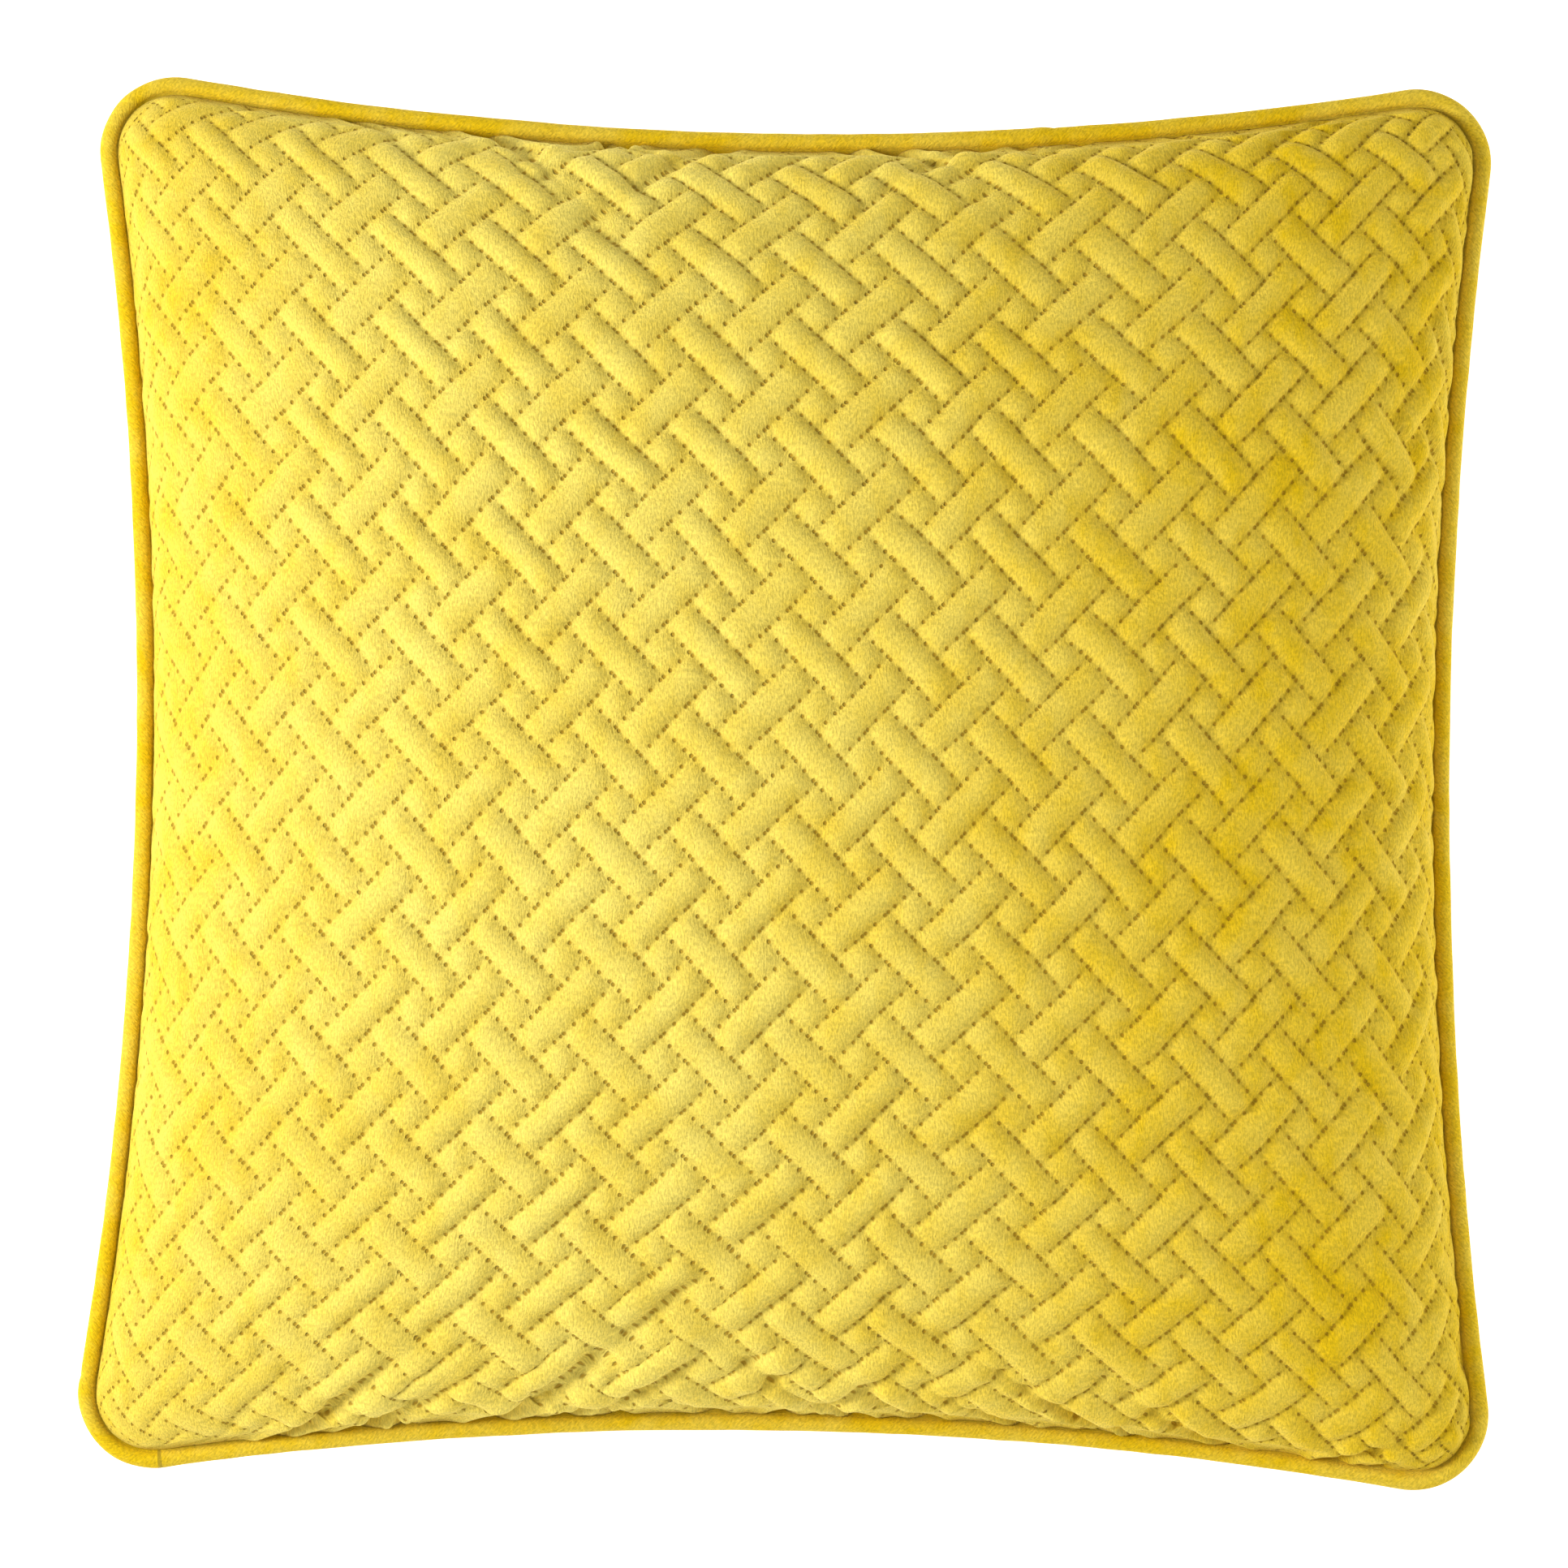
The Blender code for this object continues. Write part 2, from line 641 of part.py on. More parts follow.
def care_label():
    """A ribbon that hangs inside the cover from the left seam's allowance."""
    start = -PANEL_BASE - VELVET - CLEARANCE
    slope = math.radians(22)
    deep = (LABEL_INSET + LABEL_LENGTH * math.sin(slope), start - LABEL_LENGTH * math.cos(slope))
    section = [
        (LABEL_INSET, start),
        (LABEL_INSET + LABEL_THICKNESS, start),
        (deep[0] + LABEL_THICKNESS, deep[1]),
        deep,
    ]
    bm = swept(section, LABEL_PLACE - LABEL_WIDTH / 2, LABEL_PLACE + LABEL_WIDTH / 2, 2, LABEL_EDGE)
    add_object("care_label", bm, "label")


def main():
    clear_scene()
    front_top = front_layers()
    back_panel()
    insert(front_top)
    piping()
    zip_fastener()
    care_label()


main()
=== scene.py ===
"""Throw pillow, its looks: a 45 cm yellow velvet pillow cover whose front is quilted in a basket weave,
with piped edges and a zip under its bottom seam. Units are metres. +Z is up out of the quilted front, X is
the width, and the zip is in the edge that faces -Y."""

import math

import bpy
import numpy as np
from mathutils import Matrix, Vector


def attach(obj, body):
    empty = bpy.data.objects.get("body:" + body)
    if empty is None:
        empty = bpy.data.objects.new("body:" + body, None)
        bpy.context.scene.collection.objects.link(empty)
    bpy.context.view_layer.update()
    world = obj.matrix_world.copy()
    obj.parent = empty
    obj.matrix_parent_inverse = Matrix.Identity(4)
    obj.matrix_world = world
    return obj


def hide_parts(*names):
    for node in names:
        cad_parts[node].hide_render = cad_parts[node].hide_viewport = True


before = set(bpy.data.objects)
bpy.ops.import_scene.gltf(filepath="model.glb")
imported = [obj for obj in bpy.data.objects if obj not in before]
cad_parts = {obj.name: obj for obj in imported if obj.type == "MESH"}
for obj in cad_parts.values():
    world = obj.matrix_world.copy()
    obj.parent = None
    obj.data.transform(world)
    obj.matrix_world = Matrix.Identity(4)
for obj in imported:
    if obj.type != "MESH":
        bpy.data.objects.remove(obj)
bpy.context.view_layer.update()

MM = 0.001

# The part's own sizes, which the pieces here are made to
WIDTH, LENGTH = 450 * MM, 450 * MM
THICKNESS = 140 * MM
EDGE_CURVES = (15.4 * MM, 12.8 * MM, 16.2 * MM, 15.0 * MM)  # counterclockwise from the bottom edge
CORNER_RADIUS = 24 * MM
CORNERS = ((-1, -1, 0, 7 * MM), (1, -1, 1 * MM, 0), (1, 1, 0, 4 * MM), (-1, 1, 7 * MM, 0))
SEAM_HEIGHT = 60 * MM
PIPE_RADIUS = 2.75 * MM
LEG = 0.65 * MM  # half the thickness of the piping's flat leg
PANEL_BASE = 0.95 * MM
PANEL_INSET = 5.8 * MM
ZIP_DROP = 7.5 * MM
ZIP_INSET = 8.0 * MM
ZIP_LENGTH = 340 * MM
ZIP_LAP = 6.8 * MM
COIL_GAP, COIL_WIDTH, COIL_DEPTH = 1.2 * MM, 1.8 * MM, 2.2 * MM
POST_CLEAR = 0.34 * MM  # from the middle of the chain to a coil's loops: room for the slider's post
TAPE, TAPE_OVERRUN, TAPE_TURN_IN = 0.5 * MM, 12 * MM, 8.5 * MM
OPENING = 173.5 * MM  # half the length of the slit that shows the zip
LIP = 5.4 * MM  # how far in from the back's seam the lower tape is turned under
LABEL_EDGE, LABEL_PLACE, LABEL_INSET = 3, 60 * MM, 14 * MM
LABEL_WIDTH, LABEL_LENGTH = 35 * MM, 21 * MM

# The quilting: bars of three cells by one, in both diagonals, with a square of one cell between them
REPEAT_X, REPEAT_Y = 29.8 * MM, 30.7 * MM
FIRST_X, FIRST_Y = 51.0 * MM, 23.2 * MM  # the middle of one bar
STITCHES = 8  # along a bar
CROWN = 2.7 * MM  # how far a bar stands up from its stitching
QUILT = 4.4 * MM  # thickness of the velvet, wadding and lining together

# The cloth of the two panels
CUT = 452 * MM  # side of each panel's flat cut, seam to seam
CUT_RADIUS = 20 * MM  # at the corners of the cut
CUT_CURVE = 1.5 * MM  # how far the middle of each side of the cut lies inside its corners
BACK_DEPTH = 72 * MM  # of the back below the seam, before what it lies on flattens it
FRONT_START, BACK_START = 76 * MM, 72 * MM  # heights that the panels are blown out from
FRONT_EASE, BACK_EASE = 0.035, 0.02  # share of extra cloth along the bottom edge, which the zip holds short
BACK_CLOTH = 0.9 * MM
BASE_DROP, BASE_SOFT = 1.1 * MM, 2.2 * MM  # how far the back is let down, and how softly it lies flat
PRESSURE = 6.0  # of the filling
LAST_FRAME = 24  # of the simulation
SHARP = math.radians(40)  # edges of the tapes and coils that turn by more than this look sharp
COARSE = 81  # points along a side of the simulated panel
FRONT_FINE, BACK_FINE = 6, 3  # fine faces to one coarse face
SIDE_STEPS, CORNER_STEPS = 240, 40  # points along each edge and round each corner of a panel's outline

# Folds that run in from the seams: first and last place along the edge and spacing, all three in mm, then
# the seed of their random draws, their depth and their length
FRONT_FOLDS = {
    "bottom": [(-196, 200, 22, 3, 9.0 * MM, 28 * MM)],
    "top": [(-185, 60, 24, 5, 6.0 * MM, 24 * MM), (60, 200, 26, 6, 2.6 * MM, 12 * MM)],
    "right": [(-190, 195, 21, 7, 1.8 * MM, 14 * MM)],
    "left": [(-190, 195, 30, 8, 1.4 * MM, 12 * MM)],
}
BACK_FOLDS = {
    "bottom": [(-196, 200, 36, 13, 2.0 * MM, 22 * MM)],
    "top": [(-190, 195, 33, 15, 2.6 * MM, 24 * MM)],
    "right": [(-190, 195, 31, 17, 2.4 * MM, 22 * MM)],
    "left": [(-190, 195, 35, 18, 2.4 * MM, 22 * MM)],
}
GATHERS = (4 * MM, -0.9 * MM, 3.5 * MM, 0.5 * MM)  # bottom, right, top, left: see held_in

# The insert
PAD_INSET = 19 * MM  # of its edge from the piping's outer edge
PAD_BELOW_FRONT, PAD_ABOVE_BACK = 9 * MM, 2 * MM  # how far its top and bottom are from the cover's

# The piping: places where its two ends overlap, where they meet, and where it is pinched at a corner
JOIN, NOTCH, PINCH = (82 * MM, 207 * MM), (85.5 * MM, 207 * MM), (-220.5 * MM, -189 * MM)
LEG_DEPTH = 5 * MM  # of the flat leg, in from the panels' seam

# Lights: place, size and watts
LIGHTS = {
    "window": ((-1.50, 0.10, 1.15), (0.6, 0.8), 37),
    "top": ((-0.25, 0.25, 1.9), (1.4, 1.8), 5),
    "fill": ((0.2, -1.7, 1.1), (1.4, 1.0), 9),
    "rim": ((1.9, 0.0, 0.45), (0.5, 1.2), 20),
}

# Colours
PALE_PILE_AND_SHEEN, DEEP_PILE_AND_SHADE = "E7D262", "D8B408"  # pile leaning towards the light and away from it, mixed at random; on the quilted front also by place, as painted sheen in the middle and painted shade towards the sides
# painted shade: the first colour darkens the stitching's valleys, where the pile is also parted, and the
# second darkens the needle holes
PARTED_PILE_AND_SHADE, NEEDLE_HOLE_SHADE = "C09A14", "9C7408"
SHEEN = "FFEA90"


# ---------------------------------------------------------------- outline


def corner_centres():
    """The centres of the four round corners, counterclockwise from the bottom left."""
    centres = []
    for side_x, side_y, short_x, short_y in CORNERS:
        x = side_x * (WIDTH / 2 - short_x - CORNER_RADIUS)
        y = side_y * (LENGTH / 2 - short_y - CORNER_RADIUS)
        centres.append(Vector((x, y)))
    return centres


def edge_arc(first, second, curve):
    """(centre, distance from it to the corners' centres) of the edge between two round corners."""
    half = (second - first).length / 2
    reach = (half**2 + curve**2) / (2 * curve)
    along = (second - first).normalized()
    return (first + second) / 2 + Vector((along.y, -along.x)) * (reach - curve), reach


def arc(centre, radius, start, end, steps):
    """Points from one direction to another, both seen from the centre, without the last one."""
    turn = math.atan2(start.x * end.y - start.y * end.x, start.dot(end))
    angles = math.atan2(start.y, start.x) + turn * np.arange(steps) / steps
    return np.stack((centre.x + radius * np.cos(angles), centre.y + radius * np.sin(angles)), 1)


def outline(inset, side_steps=SIDE_STEPS, corner_steps=CORNER_STEPS, centres=None, radius=CORNER_RADIUS,
            curves=EDGE_CURVES):
    """The pillow's outline, counterclockwise from the start of the bottom edge, this far inside the outer
    edge of the piping."""
    centres = centres or corner_centres()
    points = []
    for i in range(4):
        here, there, beyond = centres[i], centres[(i + 1) % 4], centres[(i + 2) % 4]
        middle, reach = edge_arc(here, there, curves[i])
        points.append(arc(middle, reach - radius + inset, here - middle, there - middle, side_steps))
        after = edge_arc(there, beyond, curves[(i + 1) % 4])[0]
        points.append(arc(there, radius - inset, middle - there, after - there, corner_steps))
    return np.concatenate(points)


def four_sides(closed, count):
    """An outline as four lines of evenly spaced points, each from the middle of one corner to the next."""
    total = SIDE_STEPS + CORNER_STEPS
    sides = []
    for i in range(4):
        start = i * total - CORNER_STEPS // 2
        line = closed[np.arange(start, start + total + 1) % len(closed)]
        run = np.concatenate(([0], np.cumsum(np.linalg.norm(np.diff(line, axis=0), axis=1))))
        at = np.linspace(0, run[-1], count)
        sides.append(np.stack((np.interp(at, run, line[:, 0]), np.interp(at, run, line[:, 1])), 1))
    return sides


def patch(sides, count, share=None):
    """A net of points filling the outline: [column, row], from the bottom left."""
    bottom, right, top, left = sides
    top, left = top[::-1], left[::-1]
    share = np.linspace(0, 1, count) if share is None else share
    s, t = share[:, None, None], share[None, :, None]
    ruled = (1 - t) * bottom[:, None] + t * top[:, None] + (1 - s) * left[None] + s * right[None]
    corners = (1 - s) * (1 - t) * bottom[0] + s * (1 - t) * bottom[-1]
    return ruled - corners - (1 - s) * t * top[0] - s * t * top[-1]


def seam_net(inset, count):
    """A net of points filling the outline that lies this far in."""
    return patch(four_sides(outline(inset), count), count)


def cut_net(count):
    """The flat cut of a panel, a square with small round corners and nearly straight edges."""
    half = CUT / 2 - CUT_RADIUS
    centres = [Vector((x * half, y * half)) for x, y in ((-1, -1), (1, -1), (1, 1), (-1, 1))]
    closed = outline(0.0, centres=centres, radius=CUT_RADIUS, curves=(CUT_CURVE,) * 4)
    return patch(four_sides(closed, count), count)


# ---------------------------------------------------------------- meshes


def new_object(name, points, faces, material=None):
    """A smooth mesh object in the scene."""
    mesh = bpy.data.meshes.new(name)
    mesh.from_pydata(np.asarray(points).reshape(-1, 3).tolist(), [], [list(f) for f in faces])
    mesh.shade_smooth()
    if material:
        mesh.materials.append(material)
    thing = bpy.data.objects.new(name, mesh)
    bpy.context.scene.collection.objects.link(thing)
    return thing


def net_faces(columns, rows, first=0, flip=False):
    """The faces of a net of points that are numbered row by row within each column."""
    i, j = np.meshgrid(np.arange(columns - 1), np.arange(rows - 1), indexing="ij")
    a = (i * rows + j).ravel() + first
    quads = np.stack((a, a + rows, a + rows + 1, a + 1), 1)
    return (quads[:, ::-1] if flip else quads).tolist()


def rim(count):
    """Numbers of a square net's outer points, counterclockwise."""
    last = count - 1
    run = np.arange(last)
    column = np.concatenate((run, np.full(last, last), last - run, np.zeros(last, int)))
    row = np.concatenate((np.zeros(last, int), run, np.full(last, last), last - run))
    return column * count + row


def set_uv(thing, name, per_point):
    """A UV layer from one place for each point."""
    layer = thing.data.uv_layers.new(name=name)
    corners = np.empty(len(thing.data.loops), np.int32)
    thing.data.loops.foreach_get("vertex_index", corners)
    layer.data.foreach_set("uv", per_point[corners].astype(np.float32).ravel())


def shell(name, outer, inner, outer_flat, inner_flat, material, up):
    """A closed cloth panel: a fine outer net and a coarse inner one, joined round their rims."""
    fine, coarse = outer.shape[0], inner.shape[0]
    first = fine * fine
    faces = net_faces(fine, fine, 0, not up) + net_faces(coarse, coarse, first, up)
    near, far = rim(fine), rim(coarse) + first
    per = len(near) // len(far)
    for i in range(len(far)):
        a, b = int(far[i]), int(far[(i + 1) % len(far)])
        steps = [int(near[(i * per + k) % len(near)]) for k in range(per + 1)]
        half = per // 2
        fans = [(steps[k + 1], steps[k], a if k < half else b) for k in range(per)]
        fans.append((steps[half], a, b))
        faces += [f if up else f[::-1] for f in fans]
    points = np.concatenate((outer.reshape(-1, 3), inner.reshape(-1, 3)))
    thing = new_object(name, points, faces, material)
    flat = np.concatenate((outer_flat.reshape(-1, 2), inner_flat.reshape(-1, 2)))
    set_uv(thing, "Cut", flat)
    square = flat / CUT + 0.5  # the outside is baked in one square and the inside in a small one beside it
    bake = np.where(np.arange(len(flat))[:, None] < first, 0.01 + 0.84 * square, 0.87 + 0.12 * square)
    set_uv(thing, "OFBake", bake)
    return thing


def soft_noise(u, v, size, seed):
    """Smooth noise from -1 to 1, with features of this size."""
    table = np.random.RandomState(seed).rand(64, 64) * 2 - 1
    x, y = u / size + 32, v / size + 32
    i, j = np.floor(x).astype(int), np.floor(y).astype(int)
    fx, fy = x - i, y - j
    fx, fy = fx * fx * (3 - 2 * fx), fy * fy * (3 - 2 * fy)
    low = table[i % 64, j % 64] * (1 - fx) + table[(i + 1) % 64, j % 64] * fx
    high = table[i % 64, (j + 1) % 64] * (1 - fx) + table[(i + 1) % 64, (j + 1) % 64] * fx
    return low * (1 - fy) + high * fy


def smooth_step(low, high, value):
    """0 up to low and 1 from high, with a smooth rise between them."""
    share = np.clip((value - low) / (high - low), 0, 1)
    return share * share * (3 - 2 * share)


def spline_weights(count, finer):
    """Weights that turn count points along a line into a smooth line with finer times as many steps."""
    at = np.arange((count - 1) * finer + 1) / finer
    weights = np.zeros((len(at), count + 2))
    base = np.minimum(at.astype(int), count - 2)
    f = at - base
    cubic = ((1 - f) ** 3, 3 * f**3 - 6 * f**2 + 4, -3 * f**3 + 3 * f**2 + 3 * f + 1, f**3)
    for k in range(4):
        weights[np.arange(len(at)), base + k] += cubic[k] / 6
    for edge, inner, far in ((0, 1, 2), (count + 1, count, count - 1)):  # a straight run past each end
        weights[:, inner] += 2 * weights[:, edge]
        weights[:, far] -= weights[:, edge]
    return weights[:, 1:-1]


def finer_net(net, finer):
    """The net with this many faces for each of its own, laid along smooth curves."""
    weights = spline_weights(net.shape[0], finer)
    return np.einsum("ia,abc,jb->ijc", weights, net, weights, optimize=True)


def normals(net):
    """The unit normal at each point of a net."""
    across, along = np.gradient(net, axis=0), np.gradient(net, axis=1)
    normal = np.cross(across, along)
    return normal / np.maximum(np.linalg.norm(normal, axis=2, keepdims=True), 1e-12)


# ---------------------------------------------------------------- filling the cover


def even_shares(steepness, count):
    """Places from -1 to 1 that are evenly far apart along an arch, this much higher than half its span."""
    angle = np.linspace(-math.pi / 2, math.pi / 2, 2001)
    x, z = np.sin(angle), steepness * np.cos(angle)
    run = np.concatenate(([0], np.cumsum(np.hypot(np.diff(x), np.diff(z)))))
    return np.interp(np.linspace(0, run[-1], count), run, x)


def filled_panel(name, side, height, ease):
    """The net of a panel that is cut flat, sewn to the seam and blown out by the filling, and the net of its
    cut. side is 1 for the front and -1 for the back. ease adds cloth along the bottom edge."""
    count = COARSE
    cut = cut_net(count)
    share = even_shares(height / (WIDTH / 2 - EDGE_CURVES[0] - PANEL_INSET), count)
    even = np.linspace(-1, 1, 4 * count + 1)
    sides = four_sides(outline(PANEL_INSET), len(even))
    sides = [np.stack([np.interp(share, even, line[:, k]) for k in (0, 1)], 1) for line in sides]
    seam = patch(sides, count, (share + 1) / 2)
    rise = ((1 - share[:, None] ** 2) * (1 - share[None, :] ** 2)) ** 0.5
    start = np.dstack((seam, SEAM_HEIGHT + side * (PANEL_BASE + height * rise)))
    near_bottom = np.exp(-np.linspace(0, 2, count) / 0.12)[None, :]
    rest = cut.copy()
    rest[:, :, 0] *= 1 + ease * near_bottom
    faces = net_faces(count, count, 0, side < 0)
    thing = new_object(name, start, faces)
    thing.shape_key_add(name="Filled")
    key = thing.shape_key_add(name="Cut")
    key.data.foreach_set("co", np.dstack((rest, np.full((count, count), SEAM_HEIGHT))).ravel())
    key.value = 0
    held = thing.vertex_groups.new(name="seam")
    held.add(rim(count).tolist(), 1.0, "REPLACE")
    cloth = thing.modifiers.new("Cloth", "CLOTH")  # lined velvet, which hardly stretches
    settings = cloth.settings
    settings.quality = 6
    settings.mass = 0.15
    settings.tension_stiffness = settings.compression_stiffness = 40
    settings.shear_stiffness = 12
    settings.bending_stiffness = 8
    settings.tension_damping = settings.compression_damping = 15
    settings.air_damping = 3
    settings.vertex_group_mass = "seam"
    settings.rest_shape_key = key
    settings.use_pressure = True
    settings.uniform_pressure_force = PRESSURE
    settings.effector_weights.gravity = 0
    cloth.collision_settings.use_collision = False
    scene = bpy.context.scene
    for number in range(1, LAST_FRAME + 1):  # the simulation runs from frame to frame
        scene.frame_set(number)
    shaped = thing.evaluated_get(bpy.context.evaluated_depsgraph_get()).to_mesh()
    points = np.empty(count * count * 3, np.float32)
    shaped.vertices.foreach_get("co", points)
    net = points.reshape(count, count, 3).astype(float)
    bpy.data.objects.remove(thing, do_unlink=True)
    scene.frame_set(1)
    return net, cut


def settle(net, top):
    """The panel with its greatest height above the seam, or depth below it, brought to this."""
    rise = net[:, :, 2] - SEAM_HEIGHT
    side = 1 if top > 0 else -1
    scale = abs(top) / np.max(side * rise)
    out = net.copy()
    out[:, :, 2] = SEAM_HEIGHT + rise * scale
    return out


# ---------------------------------------------------------------- quilting


def quilt_crown(u, v):
    """Height of the quilting at points of the flat cut, from 0 at its stitching to about 1 on a bar."""
    x, y = (u - FIRST_X) / REPEAT_X, (v - FIRST_Y) / REPEAT_Y
    a, b = 2 * (x + y), 2 * (y - x)
    i, j = np.round(a).astype(int), np.round(b).astype(int)
    fa, fb = a - i, b - j
    ia, ib = i % 4, j % 4
    even_row = (ib % 2 == 0) & ((ib == 0) & (ia != 2) | (ib == 2) & (ia != 0))
    even_column = (ia % 2 == 0) & ~even_row
    along_a = np.where(even_row, ((ia - ib + 1) % 4) - 1 + fa, fa)
    along_b = np.where(even_column, ((ib - (ia + 2) + 1) % 4) - 1 + fb, fb)
    end_a = np.where(even_row, np.clip((np.abs(along_a) - 1.0) * 2, 0, 1), np.abs(fa) * 2)
    end_b = np.where(even_column, np.clip((np.abs(along_b) - 1.0) * 2, 0, 1), np.abs(fb) * 2)
    height = ((1 - end_a**2) * (1 - end_b**2)) ** 0.9
    bar_a = i - np.where(even_row, np.round(along_a - fa), 0).astype(int)
    bar_b = j - np.where(even_column, np.round(along_b - fb), 0).astype(int)
    table = np.random.RandomState(11).rand(64, 64)
    own = 0.82 + 0.32 * table[bar_a % 64, bar_b % 64]
    square = ~(even_row | even_column)
    return height * own * np.where(square, 0.82, 1.0)


def puckers(along, depth, places, seed, strength, reach):
    """Folds that run in from a seam: how far they push the cloth in, at points this far along the seam and
    this deep behind it."""
    random = np.random.RandomState(seed)
    total = np.zeros_like(along)
    for place in places:
        place = place + random.uniform(-7, 7) * MM
        width = random.uniform(1.6, 3.4) * MM
        length = random.uniform(0.6, 1.4) * reach
        lean = random.choice((-1, 1, 1)) * random.uniform(0.7, 1.2)
        amount = random.uniform(0.15, 1.0) * strength
        x = (along - place - lean * depth) / (width * (1 + depth / (40 * MM)))
        fold = np.exp(-(np.abs(x) ** 1.4)) - 0.30 * np.exp(-((np.abs(x) - 2.0) ** 2))
        total += amount * fold * np.exp(-depth / length)
    return total


def panel_edges(flat):
    """How far points of the flat cut are from each of its edges, from the nearest edge and from the nearest
    corner."""
    half = CUT / 2
    u, v = flat[:, :, 0], flat[:, :, 1]
    bottom, right, top, left = v + half, half - u, half - v, u + half
    edge = np.minimum(np.minimum(bottom, top), np.minimum(left, right))
    corner = np.hypot(np.minimum(left, right), np.minimum(bottom, top))
    return {"bottom": bottom, "right": right, "top": top, "left": left}, edge, corner


def all_folds(flat, folds):
    """How far the folds of all four edges push the cloth in, at points of the flat cut."""
    from_edge = panel_edges(flat)[0]
    total = np.zeros(flat.shape[:2])
    for side, runs in folds.items():
        along = flat[:, :, 0] if side in ("bottom", "top") else flat[:, :, 1]
        for first, last, step, seed, strength, reach in runs:
            places = np.arange(first, last, step) * MM
            total += puckers(along, from_edge[side], places, seed, strength, reach)
    return total


def held_in(net, seam, gathers):
    """Makes a panel rise inwards from the seams along its bottom, right, top and left edges, by these
    amounts. A panel whose amount is negative bulges that far over the piping."""
    out = net.copy()
    soft = 0.8 * MM
    risen = 1 - np.exp(-np.maximum(net[:, :, 2] - SEAM_HEIGHT - PANEL_BASE, 0) / (9 * MM))
    for gather, axis, line, sign in (
        (gathers[0], 1, seam[:, :1, 1], -1),
        (gathers[1], 0, seam[-1:, :, 0], 1),
        (gathers[2], 1, seam[:, -1:, 1], 1),
        (gathers[3], 0, seam[:1, :, 0], -1),
    ):
        beyond = sign * (out[:, :, axis] - line) + gather * risen
        beyond = 0.5 * (beyond + np.sqrt(beyond**2 + soft**2)) - 0.5 * soft * np.exp(-np.abs(beyond) / soft)
        out[:, :, axis] -= sign * np.maximum(beyond, 0)
    return out


def quilted_front(material):
    """The front: velvet over wadding over a lining, quilted through and sewn in all round."""
    net, cut = filled_panel("front_start", 1, FRONT_START, FRONT_EASE)
    net = settle(net, THICKNESS - SEAM_HEIGHT - CROWN)
    outer, flat = finer_net(net, FRONT_FINE), finer_net(cut, FRONT_FINE)
    u, v = flat[:, :, 0], flat[:, :, 1]
    edge, corner = panel_edges(flat)[1:]
    folds = all_folds(flat, FRONT_FOLDS)
    folds *= smooth_step(0, 3 * MM, edge) * smooth_step(34 * MM, 66 * MM, corner)

    # The pattern wanders a little, and the cloth's own grain with it
    warp_u = 1.1 * MM * soft_noise(u, v, 38 * MM, 21) + 0.35 * MM * soft_noise(u, v, 9 * MM, 22)
    warp_v = 1.1 * MM * soft_noise(u, v, 38 * MM, 23) + 0.35 * MM * soft_noise(u, v, 9 * MM, 24)
    u, v = u + warp_u, v + warp_v
    pressed = 1 - 0.15 * soft_noise(u, v, 24 * MM, 31)
    crown = quilt_crown(u, v) * CROWN * pressed
    crown *= smooth_step(0, 5 * MM, edge) * smooth_step(16 * MM, 34 * MM, corner)
    crown *= 0.50 + 0.50 * smooth_step(-225 * MM, -60 * MM, u)  # flatter towards the left edge
    uneven = 0.35 * MM * soft_noise(u, v, 16 * MM, 41) * smooth_step(0, 8 * MM, edge)

    push = normals(outer)
    push[:, :, :2] *= (0.25 + 0.75 * smooth_step(4 * MM, 26 * MM, edge))[:, :, None]
    seam = outer.copy()
    outer = outer + push * (crown + uneven)[:, :, None]
    outer = held_in(outer, seam, GATHERS)
    outer -= normals(outer) * folds[:, :, None]

    inner = net - normals(net) * QUILT * 0.8
    border = rim(COARSE)
    inner_points, net_points = inner.reshape(-1, 3), net.reshape(-1, 3)
    outward = net_points[border, :2] / np.linalg.norm(net_points[border, :2], axis=1, keepdims=True)
    inner_points[border, :2] = net_points[border, :2] - outward * QUILT
    inner_points[border, 2] = net_points[border, 2]
    return shell("quilted_front", outer, inner, np.dstack((u, v)), cut, material, True)


def rested(z):
    """Heights with everything under the pillow's base brought up to it, softly."""
    return 0.5 * (z + np.sqrt(z * z + BASE_SOFT * BASE_SOFT))


def plain_back(material):
    """The back: one layer of velvet, flat where the pillow lies on it and slit along the zip."""
    net, cut = filled_panel("back_start", -1, BACK_START, BACK_EASE)
    net = settle(net, -BACK_DEPTH)
    outer, flat = finer_net(net, BACK_FINE), finer_net(cut, BACK_FINE)
    edge, corner = panel_edges(flat)[1:]
    folds = all_folds(flat, BACK_FOLDS)
    folds *= smooth_step(0, 6 * MM, edge) * smooth_step(18 * MM, 45 * MM, corner)
    outer = outer + normals(outer) * folds[:, :, None]
    outer = mouth(outer, flat)
    outer[:, :, 2] = rested(outer[:, :, 2] - BASE_DROP)
    coarse = outer[::BACK_FINE, ::BACK_FINE]
    inner = coarse + normals(coarse) * BACK_CLOTH
    return shell("plain_back", outer, inner, flat, flat[::BACK_FINE, ::BACK_FINE], material, False)


